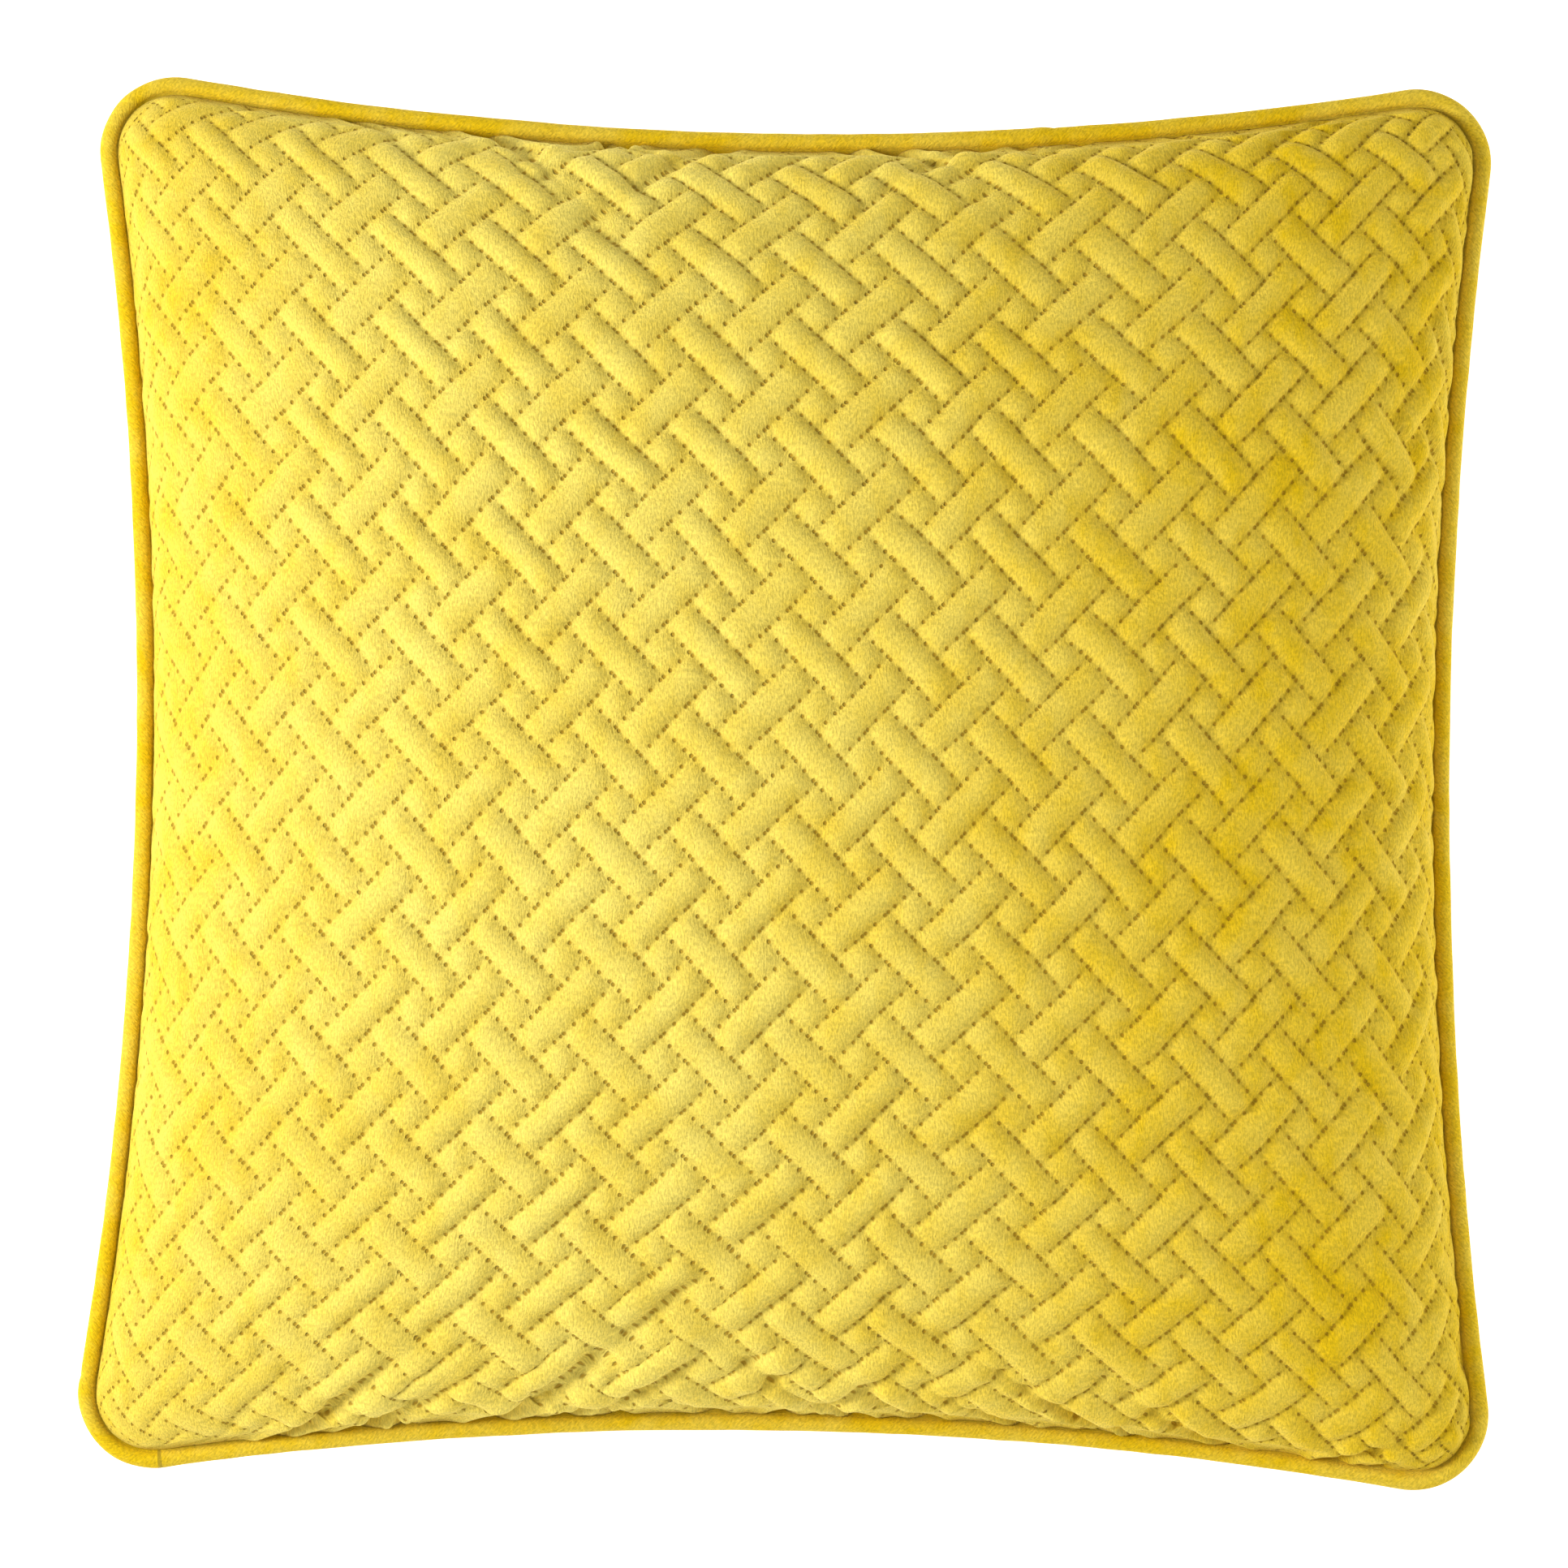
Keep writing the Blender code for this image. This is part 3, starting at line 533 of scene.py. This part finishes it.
def mouth(outer, flat):
    """Draws the bottom edge of the back down past the zip, over the length of the opening. The places on the
    flat cut move with it."""
    seam = SEAM_HEIGHT - PANEL_BASE
    low = SEAM_HEIGHT - ZIP_DROP - ZIP_LAP
    out = outer.copy()
    rows = outer.shape[1]
    steps = np.arange(rows)
    for i in range(outer.shape[0]):
        column = outer[i]
        open_here = 1 - smooth_step(OPENING - 2 * MM, OPENING + 2 * MM, np.array(abs(column[0, 0])))
        target = seam - open_here * (seam - low)
        below = np.nonzero(column[: rows // 2, 2] < target)[0]
        if open_here <= 0 or not len(below) or below[0] == 0:
            continue
        above, under = column[below[0] - 1, 2], column[below[0], 2]
        at = below[0] - 1 + (above - target) / max(above - under, 1e-9)
        new = at + (rows - 1 - at) * steps / (rows - 1)
        for axis in range(3):
            out[i, :, axis] = np.interp(new, steps, column[:, axis])
        for axis in range(2):
            flat[i, :, axis] = np.interp(new, steps, flat[i, :, axis])
        back = edge_line(out[i, 0, 0], PANEL_INSET + LIP - 1.2 * MM) - out[i, 0, 1]
        run = np.concatenate(([0], np.cumsum(np.linalg.norm(np.diff(out[i], axis=0), axis=1))))
        out[i, :, 1] += open_here * back * np.exp(-((run / (7 * MM)) ** 2))
    return out


def edge_line(x, inset):
    """The Y of a line beside the bottom edge, this far in from the piping's outer edge."""
    centres = corner_centres()
    centre, reach = edge_arc(centres[0], centres[1], EDGE_CURVES[0])
    return centre.y + np.sqrt((reach - CORNER_RADIUS + inset) ** 2 - (x - centre.x) ** 2)


# ---------------------------------------------------------------- materials


def colour(code):
    """An sRGB hex colour as linear RGBA."""
    values = [int(code[i : i + 2], 16) / 255 for i in (0, 2, 4)]
    return (*(c / 12.92 if c <= 0.04045 else ((c + 0.055) / 1.055) ** 2.4 for c in values), 1.0)


def add(tree, kind, sockets=(), out=0, **settings):
    """Adds a shader node. sockets gives its inputs by name or number, each a value or a socket to link."""
    node = tree.nodes.new("ShaderNode" + kind)
    for key, value in settings.items():
        setattr(node, key, value)
    given = sockets.items() if isinstance(sockets, dict) else enumerate(sockets)
    for key, value in given:
        if isinstance(value, bpy.types.NodeSocket):
            tree.links.new(value, node.inputs[key])
        elif value is not None:
            node.inputs[key].default_value = value
    return node.outputs[out] if node.outputs else node


def calc(tree, operation, *values):
    """Adds a Math node."""
    return add(tree, "Math", values, operation=operation)


def ramp(tree, value, low, high, start=0.0, end=1.0):
    """Adds a smooth step that goes from start to end while the value goes from low to high."""
    return add(tree, "MapRange", (value, low, high, start, end), interpolation_type="SMOOTHSTEP")


def new_material(name):
    """An empty material and its node tree."""
    made = bpy.data.materials.new(name)
    made.use_nodes = True
    made.node_tree.nodes.clear()
    return made, made.node_tree


def finish_material(tree, **sockets):
    """Adds the surface. An underscore in an input's name stands for a space."""
    named = {key.replace("_", " "): value for key, value in sockets.items()}
    surface = add(tree, "BsdfPrincipled", named)
    add(tree, "OutputMaterial", {"Surface": surface})


def stitch_holes(tree, across, along, gap_first):
    """Where the needle went in, along the stitching that lies at every half of across. The stitching runs
    for three cells and then leaves one out. Returns the holes and the line."""
    turn = calc(tree, "SUBTRACT", calc(tree, "FLOORED_MODULO", calc(tree, "FLOOR", across), 4.0), 1.5)
    middle = calc(tree, "LESS_THAN", calc(tree, "ABSOLUTE", turn), 1.0)
    if gap_first:
        middle = calc(tree, "SUBTRACT", 1.0, middle)
    gap = calc(tree, "MULTIPLY", middle, 2.0)
    off = calc(tree, "SUBTRACT", calc(tree, "FRACT", across), 0.5)
    run = calc(tree, "FLOORED_MODULO", calc(tree, "SUBTRACT", along, gap), 4.0)
    from_gap = calc(tree, "ABSOLUTE", calc(tree, "SUBTRACT", run, 2.0))
    in_run = calc(tree, "LESS_THAN", from_gap, 1.56)  # half a run, which is just over three cells
    beat = calc(tree, "MULTIPLY_ADD", run, STITCHES / 3, 0.5 - 0.5 * STITCHES / 3)
    step = calc(tree, "SUBTRACT", calc(tree, "FRACT", beat), 0.5)
    step = calc(tree, "MULTIPLY", step, 3 / STITCHES)
    place = add(tree, "CombineXYZ", (off, step, 0.0))
    far = add(tree, "VectorMath", (place,), out=1, operation="LENGTH")
    hole = calc(tree, "MULTIPLY", ramp(tree, far, 0.025, 0.078, 1.0, 0.0), in_run)
    line = ramp(tree, calc(tree, "ABSOLUTE", off), 0.0, 0.13, 1.0, 0.0)
    return hole, calc(tree, "MULTIPLY", line, in_run)


def cotton_velvet(name, quilted, bias=0.0, overall_lean_and_painted_shade=0.3):
    """Cut-pile velvet: a soft matt pile, pale or deep by how it leans, over a fine upright wale. The last
    argument is how far the pile leans on the whole, which on the quilted front grows towards its sides by
    place: painted sheen leaves the middle pale and painted shade makes the sides deeper."""
    made, tree = new_material(name)
    cut = add(tree, "UVMap", uv_map="Cut")
    turned = add(tree, "Mapping", {"Vector": cut, "Rotation": (0, 0, bias)})
    per_mm = 1 / MM

    def noise(vector, scale, detail, roughness, distortion=0.0):
        inputs = {"Vector": vector, "Scale": scale, "Detail": detail, "Roughness": roughness}
        return add(tree, "TexNoise", {**inputs, "Distortion": distortion})

    wale = add(tree, "Mapping", {"Vector": turned, "Scale": (per_mm / 0.50, per_mm / 1.6, 1)})
    wale = noise(wale, 1.0, 1.0, 0.5)
    grain = noise(turned, per_mm / 0.9, 3.0, 0.65)
    patches = noise(turned, per_mm / 42, 4.0, 0.55, 0.6)
    smears = {"Vector": turned, "Scale": (per_mm / 9, per_mm / 14, 1), "Rotation": (0, 0, 0.5)}
    smears = noise(add(tree, "Mapping", smears), 1.0, 3.0, 0.6)
    lean_with_painted_sheen_and_shade = overall_lean_and_painted_shade
    if quilted:
        # painted sheen and shade: by place, the pile is paler in the middle of the front and deeper towards
        # its sides
        sideways = add(tree, "SeparateXYZ", (cut,))
        right = ramp(tree, sideways, -0.06, 0.18, 0.0, overall_lean_and_painted_shade)
        left = ramp(tree, sideways, -0.24, -0.10, 0.8 * overall_lean_and_painted_shade, 0.0)
        lean_with_painted_sheen_and_shade = calc(tree, "ADD", left, right)
    nap_and_painted_shade = calc(tree, "MULTIPLY_ADD", ramp(tree, patches, 0.36, 0.68), 0.26, lean_with_painted_sheen_and_shade)
    nap_and_painted_shade = calc(tree, "MULTIPLY_ADD", ramp(tree, smears, 0.38, 0.70), 0.22, nap_and_painted_shade)
    nap_and_painted_shade = calc(tree, "MINIMUM", nap_and_painted_shade, 1.0)
    # pale and deep pile mixed partly at random and partly by place, as painted sheen and painted shade
    tone = add(tree, "MixRGB", (nap_and_painted_shade, colour(PALE_PILE_AND_SHEEN), colour(DEEP_PILE_AND_SHADE)))
    speck = calc(tree, "MULTIPLY_ADD", grain, 0.5, calc(tree, "MULTIPLY", wale, 0.5))
    speck = add(tree, "MapRange", (speck, 0.38, 0.62, 0.76, 1.16))
    tone = add(tree, "VectorMath", {0: tone, "Scale": speck}, operation="SCALE")
    height = calc(tree, "MULTIPLY_ADD", grain, 0.45, calc(tree, "MULTIPLY", wale, 0.55))
    bump = add(tree, "Bump", {"Strength": 1.0, "Distance": 0.5 * MM, "Height": height})
    if quilted:
        place = add(tree, "VectorMath", (cut, (FIRST_X, FIRST_Y, 0)), operation="SUBTRACT")
        place = add(tree, "VectorMath", (place, (1 / REPEAT_X, 1 / REPEAT_Y, 0)), operation="MULTIPLY")
        x = add(tree, "SeparateXYZ", (place,))
        y = add(tree, "SeparateXYZ", (place,), out=1)
        a = calc(tree, "MULTIPLY", calc(tree, "ADD", x, y), 2.0)
        b = calc(tree, "MULTIPLY", calc(tree, "SUBTRACT", y, x), 2.0)
        hole_a, shaded_line_a = stitch_holes(tree, a, b, False)
        hole_b, shaded_line_b = stitch_holes(tree, b, a, True)
        holes = calc(tree, "MAXIMUM", hole_a, hole_b)
        stitch_line_shade = calc(tree, "MAXIMUM", shaded_line_a, shaded_line_b)
        # painted shade in the stitching's valleys between the bars, where the pile is also parted
        tone = add(tree, "MixRGB", (calc(tree, "MULTIPLY", stitch_line_shade, 0.10), tone, colour(PARTED_PILE_AND_SHADE)))
        # painted shade in the needle holes, darker than the pile around them; the bump below also dents them
        tone = add(tree, "MixRGB", (calc(tree, "MULTIPLY", holes, 0.78), tone, colour(NEEDLE_HOLE_SHADE)))
        dents = calc(tree, "MULTIPLY", holes, -1.0)
        bump = add(tree, "Bump", {"Strength": 1.0, "Distance": 0.4 * MM, "Height": dents, "Normal": bump})
    finish_material(
        tree,
        Base_Color=tone,
        Roughness=0.88,
        Specular_IOR_Level=0.18,
        Sheen_Weight=0.14,
        Sheen_Roughness=0.42,
        Sheen_Tint=colour(SHEEN),
        Normal=bump,
    )
    return made


def woven(name, code, thread, roughness=0.8):
    """Plain woven cloth or tape: threads over and under at this spacing."""
    made, tree = new_material(name)
    place = add(tree, "TexCoord", out=3)
    scaled = add(tree, "VectorMath", {0: place, "Scale": math.pi / thread}, operation="SCALE")
    x = calc(tree, "SINE", add(tree, "SeparateXYZ", (scaled,)))
    y = calc(tree, "SINE", add(tree, "SeparateXYZ", (scaled,), out=1))
    weave = calc(tree, "MULTIPLY", x, y)
    fuzz = add(tree, "TexNoise", {"Vector": place, "Scale": 1 / (6 * MM), "Detail": 4.0})
    share = add(tree, "MapRange", (weave, -1.0, 1.0, 0.0, 0.35))
    share = calc(tree, "MULTIPLY_ADD", fuzz, 0.4, share)
    darker = tuple(0.62 * c for c in colour(code)[:3]) + (1.0,)
    tone = add(tree, "MixRGB", (share, colour(code), darker))
    bump = add(tree, "Bump", {"Strength": 0.6, "Distance": 0.12 * MM, "Height": weave})
    finish_material(tree, Base_Color=tone, Roughness=roughness, Normal=bump, Specular_IOR_Level=0.25)
    return made


def nylon_coil(name):
    """Dyed nylon monofilament: smooth, with a soft shine."""
    made, tree = new_material(name)
    place = add(tree, "TexCoord", out=3)
    mottle = add(tree, "TexNoise", {"Vector": place, "Scale": 1 / (3 * MM), "Detail": 2.0})
    tone = add(tree, "MixRGB", (mottle, colour("C79A1C"), colour("AD8212")))
    rough = add(tree, "MapRange", (mottle, 0.3, 0.7, 0.42, 0.58))
    finish_material(tree, Base_Color=tone, Roughness=rough)
    return made


def zinc_plated(name):
    """Cast zinc with a polished nickel plating, tumbled, with fine scratches."""
    made, tree = new_material(name)
    place = add(tree, "TexCoord", out=3)
    stretch = (1 / (2 * MM), 1 / (0.15 * MM), 1 / (0.15 * MM))
    drawn = add(tree, "Mapping", {"Vector": place, "Scale": stretch})
    scratches = add(tree, "TexNoise", {"Vector": drawn, "Scale": 1.0, "Detail": 3.0})
    rough = add(tree, "MapRange", (scratches, 0.3, 0.7, 0.26, 0.42))
    tone = add(tree, "MixRGB", (scratches, colour("A8A49A"), colour("8E8A80")))
    bump = add(tree, "Bump", {"Strength": 0.15, "Distance": 0.02 * MM, "Height": scratches})
    finish_material(tree, Base_Color=tone, Metallic=1.0, Roughness=rough, Normal=bump)
    return made


def pale_floor(name):
    """A matt white studio sweep."""
    made, tree = new_material(name)
    mottle = add(tree, "TexNoise", {"Vector": add(tree, "TexCoord", out=3), "Scale": 3.0})
    tone = add(tree, "MixRGB", (mottle, colour("FFFFFF"), colour("FBFBFA")))
    finish_material(tree, Base_Color=tone, Roughness=0.9, Emission_Color=tone, Emission_Strength=0.75)
    return made


# ---------------------------------------------------------------- piping


def lofted(name, rings, material, closed=True, capped=False):
    """Skins rings of points, given in order along the piece."""
    rings = np.asarray(rings)
    count, around = rings.shape[:2]
    last = count if closed else count - 1
    i, j = np.meshgrid(np.arange(last), np.arange(around), indexing="ij")
    a = (i * around + j).ravel()
    b = (i * around + (j + 1) % around).ravel()
    c = (((i + 1) % count) * around + (j + 1) % around).ravel()
    d = (((i + 1) % count) * around + j).ravel()
    faces = np.stack((a, b, c, d), 1).tolist()
    if capped:
        faces += [list(range(around))[::-1], [(count - 1) * around + k for k in range(around)]]
    return new_object(name, rings, faces, material)


def ring_noise(run, total, size, seed):
    """Smooth noise round a closed line."""
    knots = max(4, int(total / size))
    table = np.random.RandomState(seed).rand(knots) * 2 - 1
    x = run / total * knots
    i = np.floor(x).astype(int)
    f = x - i
    f = f * f * (3 - 2 * f)
    return table[i % knots] * (1 - f) + table[(i + 1) % knots] * f


def bulge(line, place, width):
    """1 at a place beside a line, falling away over about this width."""
    return np.exp(-((np.hypot(line[:, 0] - place[0], line[:, 1] - place[1]) / width) ** 2))


def piping(material):
    """Velvet cut on the bias round a cord, its flat leg sewn between the panels."""
    side_steps, corner_steps, around = 260, 30, 22
    spread = math.asin(LEG / PIPE_RADIUS)
    angles = np.linspace(spread, 2 * math.pi - spread, around)
    middle_line = outline(PIPE_RADIUS, side_steps, corner_steps)
    run = np.concatenate(([0], np.cumsum(np.linalg.norm(np.diff(middle_line, axis=0), axis=1))))
    total = run[-1] + np.linalg.norm(middle_line[0] - middle_line[-1])
    swell = 1 + 0.035 * ring_noise(run, total, 22 * MM, 51) + 0.03 * ring_noise(run, total, 7 * MM, 52)
    rise = 0.8 * MM * ring_noise(run, total, 75 * MM, 54)
    swell += 0.13 * bulge(middle_line, JOIN, 3.0 * MM) - 0.24 * bulge(middle_line, NOTCH, 1.0 * MM)
    swell -= 0.16 * bulge(middle_line, PINCH, 1.5 * MM)
    columns = []
    for angle in angles:
        line = outline(PIPE_RADIUS * (1 + math.cos(angle)), side_steps, corner_steps)
        place = middle_line + (line - middle_line) * swell[:, None]
        twist = 0.06 * MM * np.sin(run / (2.6 * MM) * 2 * math.pi * 0.35 + angle)
        z = SEAM_HEIGHT + rise + (PIPE_RADIUS * swell + twist) * math.sin(angle)
        columns.append(np.column_stack((place, z)))
    for height in (-LEG, LEG):
        line = outline(PANEL_INSET + LEG_DEPTH, side_steps, corner_steps)
        columns.append(np.column_stack((line, np.full(len(line), SEAM_HEIGHT + height))))
    rings = np.stack(columns, 1)
    made = lofted("piping", rings[:, ::-1], material)
    around_line = np.linspace(0, 2 * math.pi * PIPE_RADIUS, rings.shape[1])
    flat = np.stack(np.broadcast_arrays(run[:, None], around_line[None]), 2).reshape(-1, 2)
    set_uv(made, "Cut", flat)
    return made


# ---------------------------------------------------------------- zip and label


def edge_point(edge, distance, inset, height):
    """World points beside an edge: this far along from its middle, in from the piping, and up from the
    seam."""
    centres = corner_centres()
    first, second = centres[edge], centres[(edge + 1) % 4]
    centre, reach = edge_arc(first, second, EDGE_CURVES[edge])
    radius = reach - CORNER_RADIUS
    middle = (first + second) / 2 - centre
    angle = math.atan2(middle.y, middle.x) - np.asarray(distance) / (radius + ZIP_INSET)
    place = radius + np.asarray(inset)
    x, y = centre.x + place * np.cos(angle), centre.y + place * np.sin(angle)
    z = np.broadcast_to(SEAM_HEIGHT + np.asarray(height), np.shape(x))
    return np.stack((x, y, z), -1)


def swept(name, section, start, end, steps, material, edge=0, tuck=0.0):
    """A section drawn along an edge. tuck takes its ends this far in, under the cloth."""
    distance = np.linspace(start, end, steps + 1)
    inward = tuck * smooth_step(end - 16 * MM, end, np.abs(distance))
    rings = []
    for along, deeper in zip(distance, inward):
        rings.append([edge_point(edge, along, inset + deeper, height) for inset, height in section])
    made = lofted(name, rings, material, closed=False, capped=True)
    mend(made)
    bpy.ops.object.shade_smooth_by_angle(angle=SHARP)
    return made


def mend(thing, apart=0.0):
    """Merges points that are closer than this and turns every face outwards."""
    bpy.ops.object.select_all(action="DESELECT")
    thing.select_set(True)
    bpy.context.view_layer.objects.active = thing
    bpy.ops.object.mode_set(mode="EDIT")
    bpy.ops.mesh.select_all(action="SELECT")
    if apart:
        bpy.ops.mesh.remove_doubles(threshold=apart)
    bpy.ops.mesh.normals_make_consistent(inside=False)
    bpy.ops.object.mode_set(mode="OBJECT")


def coil(name, side, material):
    """One nylon coil, wound round and pressed oval."""
    pitch, wire, per_turn, around = 1.3 * MM, 0.33 * MM, 10, 5
    turns = int(ZIP_LENGTH / pitch)
    steps = turns * per_turn
    angle = np.arange(steps + 1) * 2 * math.pi / per_turn
    distance = np.linspace(-ZIP_LENGTH / 2, ZIP_LENGTH / 2, steps + 1)
    near, far = POST_CLEAR, COIL_GAP / 2 + COIL_WIDTH
    middle = -ZIP_DROP + side * (near + far) / 2
    deep, wide = COIL_DEPTH / 2 - wire, (far - near) / 2 - wire
    rings = []
    for k in range(around):
        turn = 2 * math.pi * k / around
        reach = wire * math.cos(turn)
        inset = ZIP_INSET + (deep + reach) * np.cos(angle)
        height = middle + side * (wide + reach) * np.sin(angle)
        rings.append(edge_point(0, distance + wire * math.sin(turn), inset, height))
    made = lofted(name, np.stack(rings, 1), material, closed=False, capped=True)
    mend(made)
    bpy.ops.object.shade_smooth_by_angle(angle=SHARP)
    return made


def zip_and_label(tape_cloth, nylon, label_cloth):
    """The two tapes and coils of the zip, and the care label. The sections are (inset, height) from the
    seam, and the upper tape is folded in under the piping's leg, the lower one round the back's edge."""
    coil_outer = COIL_GAP / 2 + COIL_WIDTH
    lap, gap = 0.3 * MM, 0.3 * MM  # of a tape over its coil, and under the piping's leg
    near, far = ZIP_INSET - TAPE / 2, ZIP_INSET + TAPE / 2
    low, high = -ZIP_DROP + coil_outer - lap, -LEG - gap
    turned = ZIP_INSET + TAPE_TURN_IN
    upper = [(near, low), (far, low), (far, high - TAPE)]
    upper += [(turned, high - TAPE), (turned, high), (near, high)]
    bend = -ZIP_DROP - 4.4 * MM
    edge = -ZIP_DROP - ZIP_LAP
    deep = PANEL_INSET + LIP
    end = (deep + 6 * MM, edge - 1.5 * MM)
    start = -ZIP_DROP - coil_outer + lap
    lower = [(near, start), (near, bend), (deep, edge), end]
    lower += [(end[0], end[1] + TAPE), (deep + TAPE, edge + TAPE), (far, bend), (far, start)]
    reach = ZIP_LENGTH / 2 + TAPE_OVERRUN
    made = []
    for name, section in (("zip_tape_upper_woven", upper), ("zip_tape_lower_woven", lower)):
        made.append(swept(name, section, -reach, reach, 120, tape_cloth, tuck=7 * MM))
    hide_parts("zip_tape_upper")
    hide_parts("zip_tape_lower")
    for name, side, node in (
        ("zip_coil_upper_wound", 1, "zip_coil_upper"),
        ("zip_coil_lower_wound", -1, "zip_coil_lower"),
    ):
        one = coil(name, side, nylon)
        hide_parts(node)
        made.append(one)
    drop = -PANEL_BASE - 1.1 * MM
    slope = math.radians(22)
    thin = 0.3 * MM
    foot = (LABEL_INSET + LABEL_LENGTH * math.sin(slope), drop - LABEL_LENGTH * math.cos(slope))
    section = [(LABEL_INSET, drop), (LABEL_INSET + thin, drop), (foot[0] + thin, foot[1]), foot]
    where = (LABEL_PLACE - LABEL_WIDTH / 2, LABEL_PLACE + LABEL_WIDTH / 2)
    label = swept("care_label_ribbon", section, *where, 24, label_cloth, LABEL_EDGE)
    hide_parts("care_label")
    made.append(label)
    return made


def insert_pad(material, front_net, back_net):
    """The insert's cotton case, filled: its front and back follow the inside of the cover."""
    count = front_net.shape[0]
    faces = net_faces(count, count, 0, False) + net_faces(count, count, count * count, True)
    border = rim(count)
    top, bottom = front_net.reshape(-1, 3).copy(), back_net.reshape(-1, 3).copy()
    meet = (top[border] + bottom[border]) / 2
    meet[:, 2] = SEAM_HEIGHT
    top[border] = bottom[border] = meet
    made = new_object("insert_pad", np.concatenate((top, bottom)), faces, material)
    mend(made, 0.05 * MM)
    return made


def domed_net(count, inset, drop, side):
    """A smooth dome inside the cover, for the insert."""
    seam = seam_net(inset, count)
    s = np.linspace(-1, 1, count)[:, None]
    t = np.linspace(-1, 1, count)[None, :]
    rise = ((1 - s**2) * (1 - t**2)) ** 0.62
    height = (THICKNESS - SEAM_HEIGHT if side > 0 else 70 * MM) - drop
    net = np.dstack((seam, SEAM_HEIGHT + side * height * rise * 0.93))
    net[:, :, 2] = np.maximum(net[:, :, 2], 2.2 * MM)  # clear of the back's velvet, where the pillow lies
    return net


# ---------------------------------------------------------------- studio


def camera():
    """A long lens straight above the pillow."""
    away = 2.2
    across = 499.2 * MM
    data = bpy.data.cameras.new("camera")
    data.sensor_width = 36
    data.lens = data.sensor_width * away / across
    data.clip_start, data.clip_end = 0.1, 20
    thing = bpy.data.objects.new("camera", data)
    thing.location = (-0.2 * MM, -0.2 * MM, SEAM_HEIGHT + away)
    bpy.context.scene.collection.objects.link(thing)
    bpy.context.scene.camera = thing


def soft_box(name, place, size, power):
    """A rectangular light that faces the pillow."""
    data = bpy.data.lights.new(name, "AREA")
    data.shape = "RECTANGLE"
    data.size, data.size_y = size
    data.energy = power
    thing = bpy.data.objects.new(name, data)
    thing.location = place
    aim = Vector((0, 0, 0.08)) - Vector(place)
    thing.rotation_mode = "QUATERNION"
    thing.rotation_quaternion = aim.to_track_quat("-Z", "Y")
    bpy.context.scene.collection.objects.link(thing)


def studio():
    """A white floor under the pillow, four soft lights and a pale surround."""
    corners = [(-4, -4, 0), (4, -4, 0), (4, 4, 0), (-4, 4, 0)]
    floor = new_object("floor", corners, [(0, 1, 2, 3)], pale_floor("studio sweep"))
    floor.location.z = -0.3 * MM
    for name, (place, size, power) in LIGHTS.items():
        soft_box(name, place, size, power)
    world = bpy.context.scene.world or bpy.data.worlds.new("studio")
    bpy.context.scene.world = world
    world.use_nodes = True
    background = world.node_tree.nodes["Background"]
    background.inputs["Color"].default_value = colour("F8F8F8")
    background.inputs["Strength"].default_value = 0.30
    bpy.context.scene.view_settings.view_transform = "Standard"


def paint(node, material):
    """Gives the CAD's own solid a material."""
    thing = bpy.data.objects[node]
    for slot in thing.material_slots:
        slot.material = material


def main():
    """Builds every piece, hangs it on the pillow's body, hides the CAD pieces that the new ones stand for
    and paints the zip's metal parts.
    """
    camera()
    studio()
    front_velvet = cotton_velvet("quilted cotton velvet", True, overall_lean_and_painted_shade=0.62)
    back_velvet = cotton_velvet("plain cotton velvet", False)
    bias_velvet = cotton_velvet("bias cut cotton velvet", False, bias=math.radians(45), overall_lean_and_painted_shade=0.66)
    tape_cloth = woven("polyester zip tape", "C9A227", 0.45 * MM)
    calico = woven("cotton calico", "F1EEE6", 0.6 * MM, 0.85)
    ribbon = woven("satin label ribbon", "F4F3EF", 0.3 * MM, 0.6)
    nylon = nylon_coil("nylon coil")
    plated = zinc_plated("nickel plated zinc")

    front = quilted_front(front_velvet)
    back = plain_back(back_velvet)
    pipe = piping(bias_velvet)
    pad_front = domed_net(61, PAD_INSET, PAD_BELOW_FRONT, 1)
    pad_back = domed_net(61, PAD_INSET, PAD_ABOVE_BACK, -1)
    pad = insert_pad(calico, pad_front, pad_back)
    small = zip_and_label(tape_cloth, nylon, ribbon)
    for thing in (front, back, pipe, pad, *small):
        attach(thing, "pillow")
    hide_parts("front_velvet", "front_wadding", "front_lining")
    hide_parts("back_velvet")
    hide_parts("piping_velvet", "piping_cord")
    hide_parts("insert_casing_front", "insert_casing_back", "insert_filling")
    for node in ("zip_slider", "zip_pull", "zip_top_stop_upper", "zip_top_stop_lower", "zip_bottom_stop"):
        paint(node, plated)


main()
